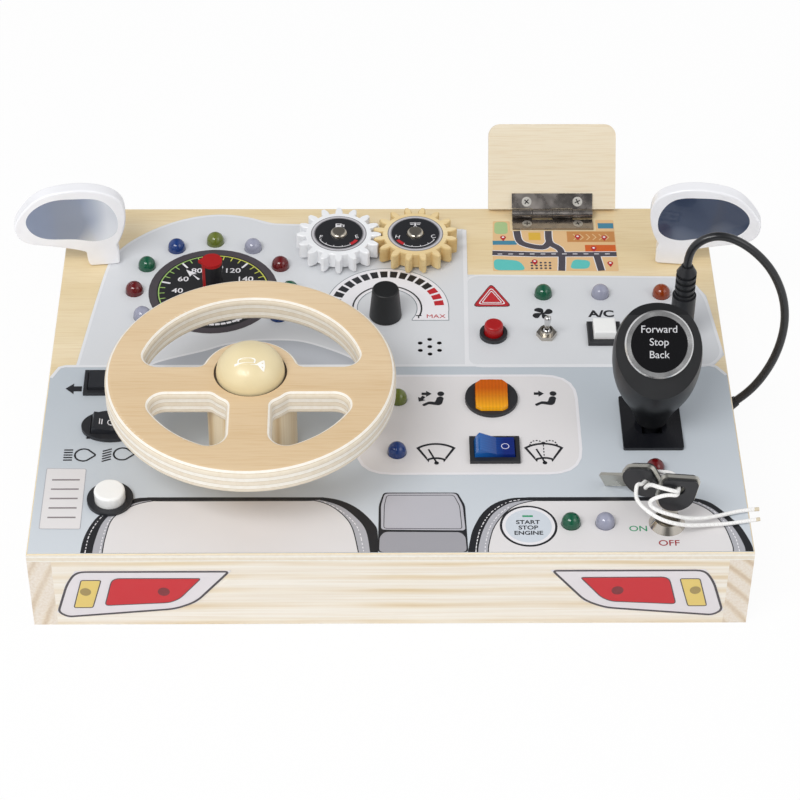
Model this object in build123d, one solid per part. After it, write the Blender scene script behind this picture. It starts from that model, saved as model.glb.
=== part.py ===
"""Wooden busy board in the shape of a car dashboard.

Frame: origin at the centre of the underside, +X to the driver's right,
+Y towards the back edge, +Z up. Millimetres.
"""
from build123d import *
import math
import os

os.makedirs("parts", exist_ok=True)

# ---------------------------------------------------------------- clearances
RUN = 0.05          # radial gap of a turning or sliding fit
GAP = 0.3           # gap under a piece that moves over a fixed one
HOLE_GAP = 0.1      # radial gap of a fixed piece in its drilled hole

# ---------------------------------------------------------------- the case
CASE_W = 300.0
CASE_D = 228.0
CASE_H = 42.0
PANEL_T = 4.0
PANEL_EDGE_R = 0.6
RAIL_T = 10.0
COVER_T = 3.0
REBATE_W = 6.0
SCREW_R = 1.25
SCREW_HEAD_R = 2.3
SCREW_HEAD_H = 1.2
SCREW_L = 12.0
SCREW_INSET = 3.0
SCREWS_LONG = 4
SCREWS_SHORT = 2
FILM_T = 0.25

TOP = CASE_H
UNDER = CASE_H - PANEL_T
FILM_TOP = CASE_H + FILM_T
INNER_W = CASE_W - 2 * RAIL_T
INNER_D = CASE_D - 2 * RAIL_T
COVER_Z = 0.0
COVER_TOP = COVER_Z + COVER_T


def across(x):
    """Where x on a case 300 wide falls on this one."""
    return x * CASE_W / 300.0


def along(y):
    """Where y on a case 228 deep falls on this one."""
    return y * CASE_D / 228.0


def on_panel(x, y):
    return across(x), along(y)


# ---------------------------------------------------------------- lamps
LED_R = 4.0
LED_FLANGE_R = 4.6
LED_FLANGE_H = 1.5
LED_BARREL_ABOVE = 1.3
RING_X = across(-80.5)
RING_Y = along(53.0)
RING_R = across(35.5)
RING_ANGLES = (0, 30, 60, 90, 120, 150, 180, 210, 330)
VENT_LED_Y = along(50.3)
VENT_LED_XS = (across(70.7), across(96.8), across(124.7))
CENTRE_LEDS = (on_panel(3.7, -20.4), on_panel(3.0, -53.9))
KEY_LED = on_panel(112.6, -64.8)
START_LEDS = (on_panel(75.0, -97.0), on_panel(89.2, -97.0))
LIGHT_LED_R = 2.5
LIGHT_LED_Z = 20.2
LIGHT_LED_FROM_END = (45.5, 13.0)
LIGHT_FILM_OUTLINE = (
    (74.0, 32.5), (9.5, 32.5), (5.1, 25.0), (0.2, 8.0), (4.5, 4.6), (50.0, 9.3), (59.0, 13.6))

LIGHT_LED_XS = tuple(INNER_W / 2 - inset for inset in LIGHT_LED_FROM_END)

# ---------------------------------------------------------------- steering wheel
WHEEL_X = across(-58.5)
WHEEL_Y = along(-48.4)
WHEEL_R = 61.0
WHEEL_T = 12.0
WHEEL_ROUND = 2.6
RIM_INNER_R = 46.6
RIM_CORNER_R = 6.5
HUB_R = 21.0
HUB_CORNER_R = 3.2
SPOKE_TOP = 4.7
SPOKE_BOTTOM = -13.5
LOW_SPOKE_W = 19.0
COLUMN_R = 19.0
COLUMN_H = 29.7
HORN_SHELL_R = 15.3
HORN_SHELL_WALL = 0.8
HORN_FLOOR_UP = 16.0
HORN_FLOOR_T = 2.0
HORN_COLLAR = 1.6
HORN_COLLAR_H = 3.0
HORN_GROOVE_Z = 4.0
HORN_DOME_H = 12.0
HORN_SKIRT = 13.0
HORN_SPRING_R = 4.6
HORN_WIRE_R = 0.4
HORN_SPRING_TURNS = 5
HORN_RECESS_R = 6.0
HORN_RECESS_H = 3.0
WIRE_HOLE_R = 4.0
HORN_SHELL_DROP = 0.6

WHEEL_Z = TOP + COLUMN_H + GAP
HORN_FLOOR_Z = TOP + HORN_FLOOR_UP
WHEEL_TOP = WHEEL_Z + WHEEL_T

# ---------------------------------------------------------------- gears
GEAR_TEETH = 16
GEAR_MODULE = 2.2
GEAR_SPACING = 35.5
GEAR_MID_X = across(-5.05)
GEAR_Y = along(83.4)
GEAR_ADDENDUM = 2.0
GEAR_DEDENDUM = 2.3
GEAR_BACKLASH = 0.35
GEAR_PRESSURE = 20.0
GEAR_T = 8.0
GEAR_UP = 1.5
GEAR_EDGE = 0.4
AXLE_R = 3.0
AXLE_COLLAR_R = 5.5
AXLE_HEAD_R = 3.9
AXLE_HEAD_H = 1.5
AXLE_FLANGE_R = 5.0
AXLE_FLANGE_H = 1.0

GEAR_Z = TOP + GEAR_UP

# ---------------------------------------------------------------- map door
DOOR_X = across(77.7)
DOOR_W = 60.0
DOOR_L = 40.0
DOOR_T = 4.0
DOOR_CORNER_R = 5.5
DOOR_START = 2.0
DOOR_LEAN = 36.0
HINGE_Y = along(107.0)
HINGE_KNUCKLE_R = 2.3
HINGE_L = 38.0
HINGE_KNUCKLES = 4
HINGE_KNUCKLE_GAP = 0.2
HINGE_PIN_R = 1.1
HINGE_LEAF_T = 0.9
HINGE_LEAF_W = 9.5
HINGE_SCREW_OUT = 5.6
HINGE_SCREW_SPREAD = 12.0
HINGE_SCREW_R = 1.2
HINGE_HEAD_R = 2.3
HINGE_HEAD_H = 0.9
HINGE_SCREW_L = 2.8

HINGE_Z = TOP + HINGE_KNUCKLE_R

# ---------------------------------------------------------------- mirrors
MIRROR_T = 6.5
MIRROR_X = across(130.2)
MIRROR_Y = along(75.25)
MIRROR_YAW = 6.0
MIRROR_LIFT = 0.1
MIRROR_GLASS_T = 0.6
MIRROR_CORNER_R = 1.5
MIRROR_EDGE_R = 0.8
DOWEL_R = 2.0
DOWEL_L = 12.0
DOWEL_IN_PANEL = 3.6
MIRROR_HEAD = (
    (-5.4, 11.2), (-10.0, 24.0), (-8.2, 36.5), (-1.0, 41.7), (16.0, 43.8),
    (28.5, 40.5), (37.6, 31.0), (40.2, 25.5), (37.4, 17.0), (28.5, 13.6), (17.5, 11.0), (8.8, 8.0))
MIRROR_FOOT = ((8.4, 2.5), (7.6, 0.0), (-6.2, 0.0), (-6.2, 7.5))
MIRROR_PANE = (
    (-6.0, 20.0), (-5.6, 29.5), (0.0, 37.2), (11.5, 39.4), (24.5, 38.4),
    (34.9, 27.2), (31.5, 20.3), (12.0, 16.0), (4.0, 14.4))

# ---------------------------------------------------------------- gear lever
LEVER_X = across(113.0)
LEVER_Y = along(-36.5)
LEVER_PLATE_W = 26.0
LEVER_PLATE_D = 33.0
LEVER_PLATE_T = 1.5
LEVER_PLATE_CORNER_R = 1.0
LEVER_SLOT_W = 8.6
LEVER_SLOT_D = 15.0
LEVER_EAR_T = 3.0
LEVER_EAR_D = 10.0
LEVER_PIVOT_DOWN = 6.0
LEVER_EAR_DROP = 3.0
LEVER_PIN_R = 1.5
LEVER_SHAFT_R = 3.6
LEVER_SHAFT_UP = 20.0
LEVER_PROFILE = (
    (4.0, 7.0), (7.0, 7.9), (14.0, 11.0), (21.0, 15.0), (32.0, 18.3), (40.0, 19.0), (49.0, 18.0), (57.0, 14.5))
LEVER_CAP_TILT = 44.0
LEVER_CAP_FORWARD = 2.1
LEVER_CAP_UP = 48.0
LEVER_RING_R = 14.5
LEVER_DISC_R = 12.0
LEVER_RING_H = 1.6
LEVER_DISC_H = 0.9
LEVER_RING_SEAT = 1.0

LEVER_PIVOT_Z = TOP - LEVER_PIVOT_DOWN
LEVER_SHAFT_TOP = TOP + LEVER_SHAFT_UP

# ---------------------------------------------------------------- rockers
ROCKER_PIVOT_UP = 0.5
ROCKER_R = 8.8
ROCKER_V = 11.0
ROCKER_CENTRE_H = 3.05
ROCKER_PIN_R = 1.0
ROCKER_PIN_L = 0.8
ROCKER_BEZEL_T = 1.75
ROCKER_SIDE_GAP = 0.15
ROCKER_WALL = 1.4
ROCKER_FLOOR_T = 1.0
AMBER_POS = on_panel(44.5, -20.7)
AMBER_BEZEL_R = 11.5
AMBER_CAP_W = 14.0
AMBER_CAP_CORNER_R = 9.9
AMBER_BODY_R = 10.6
BLUE_POS = on_panel(44.8, -53.3)
BLUE_BEZEL = (21.5, 15.5)
SIDE_CAP_W = 10.6
INDICATOR_POS = on_panel(-123.5, -10.0)
INDICATOR_BEZEL = (21.0, 15.0)
LAMP_POS = on_panel(-120.0, -38.0)
LAMP_BEZEL = (26.0, 18.5)

# ---------------------------------------------------------------- push buttons
BUTTON_GAP = 0.12
BUTTON_FLOOR_T = 1.5
BUTTON_DEPTH = 13.0
BUTTON_TRAVEL = 2.5
BUTTON_WALL = 1.2
RED_POS = on_panel(47.0, 22.2)
RED_BEZEL_R = 6.25
RED_BEZEL_T = 2.0
RED_CAP_R = 4.2
RED_CAP_UP = 7.05
WHITE_POS = on_panel(-117.5, -82.4)
WHITE_BEZEL_R = 9.7
WHITE_BEZEL_T = 1.5
WHITE_CAP_R = 6.5
WHITE_CAP_UP = 6.55
SQUARE_POS = on_panel(96.7, 22.3)
SQUARE_BEZEL = 15.0
SQUARE_BEZEL_T = 2.0
SQUARE_CAP = 10.0
SQUARE_CAP_UP = 6.05

# ---------------------------------------------------------------- toggle
TOGGLE_POS = on_panel(70.8, 22.1)
TOGGLE_BUSH_R = 3.0
TOGGLE_BUSH_UP = 4.0
TOGGLE_NUT_AF = 8.0
TOGGLE_NUT_H = 2.0
TOGGLE_BORE_R = 2.3
TOGGLE_PIVOT_UP = 2.4
TOGGLE_BALL_R = 2.2
TOGGLE_BAT_L = 11.0
TOGGLE_BAT_R = 0.9
TOGGLE_TIP_R = 1.6
TOGGLE_LEAN = 12.0
TOGGLE_BODY = (12.0, 7.0, 10.0)

TOGGLE_BUSH_TOP = TOP + TOGGLE_BUSH_UP
TOGGLE_PIVOT_Z = TOP + TOGGLE_PIVOT_UP

# ---------------------------------------------------------------- knobs
VOLUME_POS = on_panel(-1.4, 36.0)
VOLUME_BASE_R = 7.35
VOLUME_TOP_R = 6.0
VOLUME_H = 15.4
SPEED_POS = on_panel(-80.0, 53.3)
SPEED_R = 4.7
SPEED_H = 16.4
SPEED_CAP_H = 1.6
SPEED_CAP_REACH = 6.2
POT_SHAFT_R = 2.5
POT_BUSH_R = 3.5
POT_BODY_R = 8.0
POT_BODY_DROP = 12.0
SHAFT_IN_KNOB = 9.0

POT_BODY_Z = UNDER - POT_BODY_DROP

# ---------------------------------------------------------------- charging plug
SOCKET_POS = on_panel(131.0, 22.3)
SOCKET_FLANGE_R = 6.0
SOCKET_FLANGE_H = 1.5
SOCKET_BODY_R = 4.5
SOCKET_DEPTH = 12.0
PLUG_BARREL_R = 2.75
PLUG_BARREL_L = 9.5
PLUG_GRIP_R = 5.3
PLUG_GRIP_H = 22.0
PLUG_NECK_R = 4.5
PLUG_NECK_H = 13.0
PLUG_RIBS = 4
PLUG_RIB_DEPTH = 0.7
PLUG_TAIL_R = 2.6
PLUG_TOP_UP = 40.5

PLUG_TOP = TOP + PLUG_TOP_UP

# ---------------------------------------------------------------- cords
CHARGE_D = 3.8
CHARGE_RUN = (
    (0.0, 0.0, 0.0), (0.0, 0.0, 7.9), (5.3, 0.0, 15.0), (13.7, -0.3, 17.5), (23.1, -1.4, 14.0),
    (31.5, -2.7, 7.0), (38.0, -4.0, -1.5), (42.8, -5.3, -12.5), (44.8, -7.1, -23.5), (44.3, -8.8, -34.0),
    (41.8, -10.3, -45.0), (37.3, -11.7, -55.2), (31.2, -13.3, -63.5), (26.2, -14.1, -67.5))
GLAND_HOLE_R = 3.0
GLAND_FLANGE_R = 5.0
GLAND_FLANGE_H = 1.2
GLAND_ROOT_R = 3.4
GLAND_TIP_R = 2.4
KEY_CORD_D = 1.7
KEY_CORD_RUN = (
    (38.7, 1.1, 1.6), (31.5, -0.2, 1.4), (24.0, -1.8, 1.6), (16.2, -3.6, 3.0), (8.5, -6.6, 5.6),
    (1.0, -9.0, 9.3), (-5.5, -8.0, 11.5), (-10.8, -4.2, 13.3), (-13.7, 0.2, 14.2), (-13.7, 4.0, 15.2),
    (-13.1, 6.5, 17.0), (-10.5, 7.2, 15.9), (-6.0, 14.1, 16.7), (-2.7, 12.8, 17.8), (1.0, 9.7, 20.3),
    (2.5, 6.0, 21.9), (3.5, -3.9, 22.2), (-0.7, -4.2, 23.8), (-5.8, -3.5, 25.0), (-8.2, 0.5, 22.5),
    (-9.6, 4.0, 18.0), (-9.6, 6.7, 13.9), (-5.1, 13.7, 14.9), (-1.8, 12.4, 15.6), (1.6, 9.0, 18.0),
    (2.5, 5.5, 19.8), (3.3, -3.9, 20.2), (-1.2, -4.2, 21.3), (-5.7, -4.6, 20.3), (-9.0, -4.0, 17.2),
    (-7.8, -4.6, 14.5), (-3.8, -6.1, 13.1), (1.8, -6.6, 11.4), (8.2, -4.4, 7.4), (16.5, -0.5, 3.9),
    (24.5, 3.7, 1.8), (32.0, 6.5, 1.4), (39.0, 7.0, 1.6))

CHARGE_ROUTE = tuple((SOCKET_POS[0] + x, SOCKET_POS[1] + y, PLUG_TOP + z) for x, y, z in CHARGE_RUN)

# ---------------------------------------------------------------- lock and keys
LOCK_BASE_R = 7.7
LOCK_FACE_R = 5.4
LOCK_H = 3.25
BARREL_R = 4.5
BARREL_PROUD = 0.2
LOCK_DEPTH = 16.0
LOCK_BODY_R = 6.0
LOCK_NUT_R = 6.9
LOCK_NUT_H = 2.5
LOCK_RAIL_GAP = 0.1
KEY_METAL_T = 1.8
KEY_PAD_T = 1.3
KEY_BOW_W = 16.6
KEY_BOW_H = 18.5
KEY_PAD_MARGIN = 0.7
KEY_CORNER_R = 2.5
KEY_SHOULDER_R = 7.5
KEY_HOLE_UP = 12.5
KEY_HOLE_R = 2.5
KEY_BLADE_W = 6.0
KEY_BLADE_L = 12.5
KEY_BLADE_OUT = 5.5
KEY_TURN = 5.0
KEY_LEAN = 10.0
SPARE_TIP_RUN = (-25.3, 23.5, 3.3)
SPARE_AXIS = (0.70, -0.523, 0.480)
SPARE_FRONT = (-0.535, -0.834, -0.128)

LOCK_POS = (across(115.0), -CASE_D / 2 + RAIL_T + LOCK_NUT_R + LOCK_RAIL_GAP)
LOCK_FOOT = (*LOCK_POS, TOP)
KEY_CORD_ROUTE = tuple(tuple(f + c for f, c in zip(LOCK_FOOT, point)) for point in KEY_CORD_RUN)
SPARE_TIP = tuple(f + c for f, c in zip(LOCK_FOOT, SPARE_TIP_RUN))

# ---------------------------------------------------------------- speaker holes and works inside
SPEAKER_POS = on_panel(18.3, 14.6)
SPEAKER_HOLE_R = 1.1
SPEAKER_RING_R = 4.95
SPEAKER_R = 14.0
SPEAKER_H = 6.0
BATTERY_R = 9.1
BATTERY_L = 65.0
BOX_POS = on_panel(-60.0, 40.0)
BOX_WALL = 2.0
BOX_FLOOR = 2.0
BOX_H = 16.0
BOARD_POS = on_panel(60.0, -10.0)
BOARD_SIZE = (90.0, 60.0, 1.6)
BOARD_Z = 10.0
POST_R = 3.0
CHIP_SIZE = (14.0, 14.0, 3.0)
POST_INSET = 6.0
RELAY_SIZE = (18.0, 12.0, 10.0)

BASE = (Align.CENTER, Align.CENTER, Align.MIN)


# ---------------------------------------------------------------- small helpers
def disc(radius, low, high, x=0.0, y=0.0):
    """An upright cylinder from low to high."""
    return Pos(x, y, low) * Cylinder(radius, high - low, align=BASE)


def cone(low_r, high_r, low, high, x=0.0, y=0.0):
    """An upright cone frustum from low to high."""
    return Pos(x, y, low) * Cone(low_r, high_r, high - low, align=BASE)


def block(width, depth, low, high, x=0.0, y=0.0):
    """An upright box from low to high, centred on x, y."""
    return Pos(x, y, low) * Box(width, depth, high - low, align=BASE)


def slab(outline, low, high):
    """A flat outline in plan, raised from low to high."""
    return Pos(0, 0, low) * extrude(outline, high - low)


def save(name, *solids):
    """Write one node: a single solid, or several that belong together."""
    shape = solids[0] if len(solids) == 1 else Compound(children=list(solids))
    export_step(shape, f"parts/{name}.step")


def ring_points(count, radius, start=0.0):
    """Points spaced evenly round a circle."""
    turns = [math.radians(start + 360.0 * i / count) for i in range(count)]
    return [(radius * math.cos(t), radius * math.sin(t)) for t in turns]


# ---------------------------------------------------------------- places worked out once
def led_places():
    """Centre of every 8 mm lamp in the panel."""
    ring = [(RING_X + RING_R * math.cos(math.radians(a)), RING_Y + RING_R * math.sin(math.radians(a)))
            for a in RING_ANGLES]
    vent = [(x, VENT_LED_Y) for x in VENT_LED_XS]
    return ring + vent + list(CENTRE_LEDS) + [KEY_LED] + list(START_LEDS)


def gear_places():
    """Centres of the white gear and of the natural gear."""
    half = GEAR_SPACING / 2
    return (GEAR_MID_X - half, GEAR_Y), (GEAR_MID_X + half, GEAR_Y)


def speaker_holes():
    """Centres of the seven sound holes."""
    x, y = SPEAKER_POS
    return [(x, y)] + [(x + dx, y + dy) for dx, dy in ring_points(6, SPEAKER_RING_R, 30.0)]


def gland_place():
    """Where the charging lead's last run meets the right side of the case."""
    tip = Vector(*CHARGE_ROUTE[-1])
    way = Vector(*CHARGE_ROUTE[-2]) - tip
    return tip - way * ((tip.X - CASE_W / 2) / way.X)


def hinge_screw_xs():
    """The two screw lines of the hinge."""
    return (DOOR_X - HINGE_SCREW_SPREAD, DOOR_X + HINGE_SCREW_SPREAD)


# ---------------------------------------------------------------- rocker switches
def rocker_cavity_plan(width, corner_r):
    """Everything the cap may fill, seen from above, with its side gap."""
    gap = 2 * ROCKER_SIDE_GAP
    plan = Rectangle(2 * ROCKER_R + gap, width + gap)
    return plan & Circle(corner_r + ROCKER_SIDE_GAP) if corner_r else plan


def rocker_body_plan(width):
    """Outside of the box below the bezel."""
    wall = 2 * (ROCKER_WALL + ROCKER_SIDE_GAP)
    return Rectangle(2 * ROCKER_R + wall, width + wall)


ROCKER_PIVOT_Z = TOP + ROCKER_PIVOT_UP
ROCKER_CAVITY_FLOOR = ROCKER_PIVOT_Z - ROCKER_R - GAP
ROCKER_BODY_Z = ROCKER_CAVITY_FLOOR - ROCKER_FLOOR_T
ROCKER_BEZEL_TOP = FILM_TOP + ROCKER_BEZEL_T


def rocker_cap(width, corner_r, tilt):
    """A drum segment that rocks on two pins, hollowed to a shallow V on top."""
    drum = Rot(90, 0, 0) * Cylinder(ROCKER_R, width)
    big = 4 * ROCKER_R
    for side in (-1, 1):
        cutter = Pos(0, 0, ROCKER_CENTRE_H) * Rot(0, -side * ROCKER_V, 0) * Pos(side * big / 2, 0, 0)
        drum -= cutter * Box(big, 2 * width, big, align=BASE)
    if corner_r:
        drum &= Sphere(corner_r)
    pins = Rot(90, 0, 0) * Cylinder(ROCKER_PIN_R, width + 2 * ROCKER_PIN_L)
    return Pos(0, 0, ROCKER_PIVOT_Z) * Rot(0, -tilt, 0) * (drum + pins)


def rocker_frame(bezel, body_plan, width, corner_r):
    """Bezel above the film and a boxed body below it, hollow for the cap."""
    frame = slab(bezel, FILM_TOP, ROCKER_BEZEL_TOP) + slab(body_plan, ROCKER_BODY_Z, FILM_TOP)
    frame -= slab(rocker_cavity_plan(width, corner_r), ROCKER_CAVITY_FLOOR, ROCKER_BEZEL_TOP)
    pin_l = width + 2 * (ROCKER_PIN_L + RUN)
    return frame - Pos(0, 0, ROCKER_PIVOT_Z) * Rot(90, 0, 0) * Cylinder(ROCKER_PIN_R + RUN, pin_l)


ROCKERS = {
    "amber": (AMBER_POS, 90, Circle(AMBER_BEZEL_R), Circle(AMBER_BODY_R), AMBER_CAP_W, AMBER_CAP_CORNER_R, ROCKER_V),
    "blue": (BLUE_POS, 0, Rectangle(*BLUE_BEZEL), rocker_body_plan(SIDE_CAP_W), SIDE_CAP_W, 0, -ROCKER_V),
    "indicator": (INDICATOR_POS, 0, Rectangle(*INDICATOR_BEZEL), rocker_body_plan(SIDE_CAP_W), SIDE_CAP_W, 0,
                  ROCKER_V),
    "lamp": (LAMP_POS, 0, Ellipse(LAMP_BEZEL[0] / 2, LAMP_BEZEL[1] / 2), rocker_body_plan(SIDE_CAP_W), SIDE_CAP_W, 0,
             0.0),
}


def rockers():
    """Four rocker switches: frames together, each cap a node of its own."""
    frames = []
    for name, (place, turn, bezel, body, width, corner_r, tilt) in ROCKERS.items():
        spot = Pos(*place, 0) * Rot(0, 0, turn)
        frames.append(spot * rocker_frame(bezel, body, width, corner_r))
        save(f"{name}_cap", spot * rocker_cap(width, corner_r, tilt))
    save("rocker_frames", *frames)


def rocker_holes():
    """Cut-outs in panel and film for the rocker bodies."""
    cuts = []
    for place, turn, bezel, body, width, corner_r, tilt in ROCKERS.values():
        cuts.append(Pos(*place, 0) * Rot(0, 0, turn) * slab(offset(body, HOLE_GAP), ROCKER_BODY_Z, FILM_TOP))
    return cuts


# ---------------------------------------------------------------- push buttons
def round_button(place, bezel_r, bezel_t, cap_r, cap_top):
    """Bezel, tube with a floor, and the cap that slides in it."""
    bore_r = cap_r + BUTTON_GAP
    floor = FILM_TOP - BUTTON_DEPTH
    frame = disc(bezel_r, FILM_TOP, FILM_TOP + bezel_t) + disc(bore_r + BUTTON_WALL, floor, FILM_TOP)
    frame -= disc(bore_r, floor + BUTTON_FLOOR_T, FILM_TOP + bezel_t)
    cap_low = floor + BUTTON_FLOOR_T + BUTTON_TRAVEL + GAP
    cap = disc(cap_r, cap_low, cap_top)
    cap = fillet(cap.edges().sort_by(Axis.Z)[-1], min(1.2, cap_r / 3))
    frame = fillet(frame.edges().filter_by(GeomType.CIRCLE).sort_by(Axis.Z)[-1], 0.5)
    return Pos(*place, 0) * frame, Pos(*place, 0) * cap


def square_button():
    """Square bezel and tube with its square cap."""
    bore = SQUARE_CAP + 2 * BUTTON_GAP
    floor = FILM_TOP - BUTTON_DEPTH
    tube = bore + 2 * BUTTON_WALL
    frame = block(SQUARE_BEZEL, SQUARE_BEZEL, FILM_TOP, FILM_TOP + SQUARE_BEZEL_T)
    frame = chamfer(frame.faces().sort_by(Axis.Z)[-1].edges(), 0.5)
    frame += block(tube, tube, floor, FILM_TOP)
    frame -= block(bore, bore, floor + BUTTON_FLOOR_T, FILM_TOP + SQUARE_BEZEL_T)
    cap = block(SQUARE_CAP, SQUARE_CAP, floor + BUTTON_FLOOR_T + BUTTON_TRAVEL + GAP, FILM_TOP + SQUARE_CAP_UP)
    cap = fillet(cap.faces().sort_by(Axis.Z)[-1].edges(), 0.7)
    return Pos(*SQUARE_POS, 0) * frame, Pos(*SQUARE_POS, 0) * cap


def buttons():
    red_frame, red_cap = round_button(RED_POS, RED_BEZEL_R, RED_BEZEL_T, RED_CAP_R, FILM_TOP + RED_CAP_UP)
    white_frame, white_cap = round_button(WHITE_POS, WHITE_BEZEL_R, WHITE_BEZEL_T, WHITE_CAP_R,
                                          FILM_TOP + WHITE_CAP_UP)
    square_frame, square_cap = square_button()
    save("button_frames", red_frame, white_frame, square_frame)
    save("red_cap", red_cap)
    save("white_cap", white_cap)
    save("square_cap", square_cap)


def button_holes():
    """Cut-outs in panel and film for the button tubes."""
    out = BUTTON_GAP + BUTTON_WALL + HOLE_GAP
    low = FILM_TOP - BUTTON_DEPTH
    side = SQUARE_CAP + 2 * out
    return [disc(RED_CAP_R + out, low, FILM_TOP, *RED_POS), disc(WHITE_CAP_R + out, low, FILM_TOP, *WHITE_POS),
            block(side, side, low, FILM_TOP, *SQUARE_POS)]


# ---------------------------------------------------------------- case
def cover_pocket(gap):
    """Space of the base cover, grown by gap."""
    width = INNER_W + 2 * REBATE_W + 2 * gap
    depth = INNER_D + 2 * REBATE_W + 2 * gap
    return width, depth


def cover_screw_places():
    """Screws along the cover's rim."""
    width, depth = cover_pocket(-HOLE_GAP)
    half_w = width / 2 - SCREW_INSET
    half_d = depth / 2 - SCREW_INSET
    places = []
    for i in range(SCREWS_LONG):
        x = (2 * (i + 0.5) / SCREWS_LONG - 1) * half_w
        places += [(x, -half_d), (x, half_d)]
    for i in range(SCREWS_SHORT):
        y = (2 * (i + 0.5) / SCREWS_SHORT - 1) * half_d
        places += [(-half_w, y), (half_w, y)]
    return places


def screw(shank_r, length, head_r, head_h, gap=0.0):
    """A countersunk screw pointing up, its head flat at zero."""
    return cone(head_r + gap, shank_r + gap, 0, head_h) + disc(shank_r + gap, head_h, length + gap)


def screw_holes():
    """Space that the cover screws fill."""
    hole = screw(SCREW_R, SCREW_L, SCREW_HEAD_R, SCREW_HEAD_H)
    return [Pos(x, y, COVER_Z) * hole for x, y in cover_screw_places()]


def top_openings():
    """Every hole through the panel and the film over it."""
    cuts = [disc(LED_R + HOLE_GAP, UNDER, FILM_TOP, x, y) for x, y in led_places()]
    cuts += [disc(AXLE_R, UNDER, FILM_TOP, x, y) for x, y in gear_places()]
    cuts += [disc(SPEAKER_HOLE_R, UNDER, FILM_TOP, x, y) for x, y in speaker_holes()]
    cuts += [disc(POT_BUSH_R, UNDER, FILM_TOP, *place) for place in (VOLUME_POS, SPEED_POS)]
    cuts += [disc(TOGGLE_BUSH_R, UNDER, FILM_TOP, *TOGGLE_POS)]
    cuts += [disc(SOCKET_BODY_R, UNDER, FILM_TOP, *SOCKET_POS)]
    cuts += [disc(LOCK_BODY_R, UNDER, FILM_TOP, *LOCK_POS)]
    cuts += [disc(WIRE_HOLE_R, UNDER, FILM_TOP, WHEEL_X, WHEEL_Y)]
    ear_span = LEVER_SLOT_W + 2 * (LEVER_EAR_T + HOLE_GAP)
    cuts += [block(ear_span, LEVER_SLOT_D, UNDER, FILM_TOP, LEVER_X, LEVER_Y)]
    return cuts + rocker_holes() + button_holes()


def case():
    """Plywood top on pine rails, with a screwed cover below."""
    panel = block(CASE_W, CASE_D, UNDER, TOP)
    panel = fillet(panel.faces().sort_by(Axis.Z)[-1].edges(), PANEL_EDGE_R)
    panel -= top_openings()
    dowel_low = TOP - DOWEL_IN_PANEL
    panel -= [disc(DOWEL_R + RUN, dowel_low, TOP, side * MIRROR_X, MIRROR_Y) for side in (-1, 1)]
    screw_y = HINGE_Y - HINGE_SCREW_OUT
    panel -= [disc(HINGE_SCREW_R, TOP - HINGE_SCREW_L + HINGE_LEAF_T, TOP, x, screw_y) for x in hinge_screw_xs()]
    save("top_panel", panel)

    width, depth = cover_pocket(0.0)
    pocket = block(width, depth, 0, COVER_TOP)
    front = block(INNER_W, RAIL_T, 0, UNDER, 0, -(CASE_D - RAIL_T) / 2) - pocket - screw_holes()
    lamp_holes = [Pos(side * x, -CASE_D / 2, LIGHT_LED_Z) * Rot(-90, 0, 0) * Cylinder(LIGHT_LED_R, RAIL_T, align=BASE)
                  for side in (-1, 1) for x in LIGHT_LED_XS]
    save("front_rail", front - lamp_holes)
    save("back_rail", block(INNER_W, RAIL_T, 0, UNDER, 0, (CASE_D - RAIL_T) / 2) - pocket - screw_holes())
    left = block(RAIL_T, CASE_D, 0, UNDER, -(CASE_W - RAIL_T) / 2, 0) - pocket - screw_holes()
    right = block(RAIL_T, CASE_D, 0, UNDER, (CASE_W - RAIL_T) / 2, 0) - pocket - screw_holes()
    gland_hole = Pos(gland_place()) * Rot(0, -90, 0) * Cylinder(GLAND_HOLE_R, RAIL_T, align=BASE)
    save("side_rails", left, right - gland_hole)

    cover_w, cover_d = cover_pocket(-HOLE_GAP)
    cover = block(cover_w, cover_d, COVER_Z, COVER_TOP) - screw_holes()
    bx, by, bt = BOARD_SIZE
    for sx in (-1, 1):
        for sy in (-1, 1):
            cover += disc(POST_R, COVER_TOP, BOARD_Z, BOARD_POS[0] + sx * (bx / 2 - POST_INSET),
                          BOARD_POS[1] + sy * (by / 2 - POST_INSET))
    save("base_cover", cover)
    save("base_screws", *screw_holes())


# ---------------------------------------------------------------- printed film
def film_outline():
    """Outline of the printed film: two upper panels and the full-width lower one."""
    crown = ((-130.1, 68.3), (-124.7, 83.2), (-114.7, 94.3), (-98.5, 104.7), (-80.6, 109.2), (-65.0, 106.9),
             (-55.4, 103.1), (-39.4, 101.9))
    sides = ((-39.4, 101.9), (35.8, 98.0), (35.0, 0.0), (-138.5, 0.0), (-130.1, 68.3))
    vents = ((35.0, 64.7), (138.2, 63.0), (145.2, 49.4), (149.4, 8.8), (142.9, 0.0), (35.0, 0.0))
    upper = make_face(Polyline(*[on_panel(*p) for p in sides]) + Spline(*[on_panel(*p) for p in crown]))
    right = make_face(Polyline(*[on_panel(*p) for p in vents], close=True))
    half_w = CASE_W / 2 - PANEL_EDGE_R
    half_d = CASE_D / 2 - PANEL_EDGE_R
    lower = make_face(Polyline((-half_w, -half_d), (half_w, -half_d), (half_w, along(-5.0)), on_panel(145.0, 1.5),
                               on_panel(-146.0, 1.5), (-half_w, along(-5.6)), close=True))
    return upper + right + lower


def film():
    """One printed sheet over most of the panel, cut out where things pass."""
    sheet = slab(film_outline(), TOP, FILM_TOP) - top_openings()
    sheet -= disc(COLUMN_R + HOLE_GAP, TOP, FILM_TOP, WHEEL_X, WHEEL_Y)
    sheet -= [disc(AXLE_COLLAR_R, TOP, FILM_TOP, x, y) for x, y in gear_places()]
    sheet -= disc(DOWEL_R + RUN, TOP, FILM_TOP, -MIRROR_X, MIRROR_Y)
    save("dashboard_film", sheet)


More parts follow.
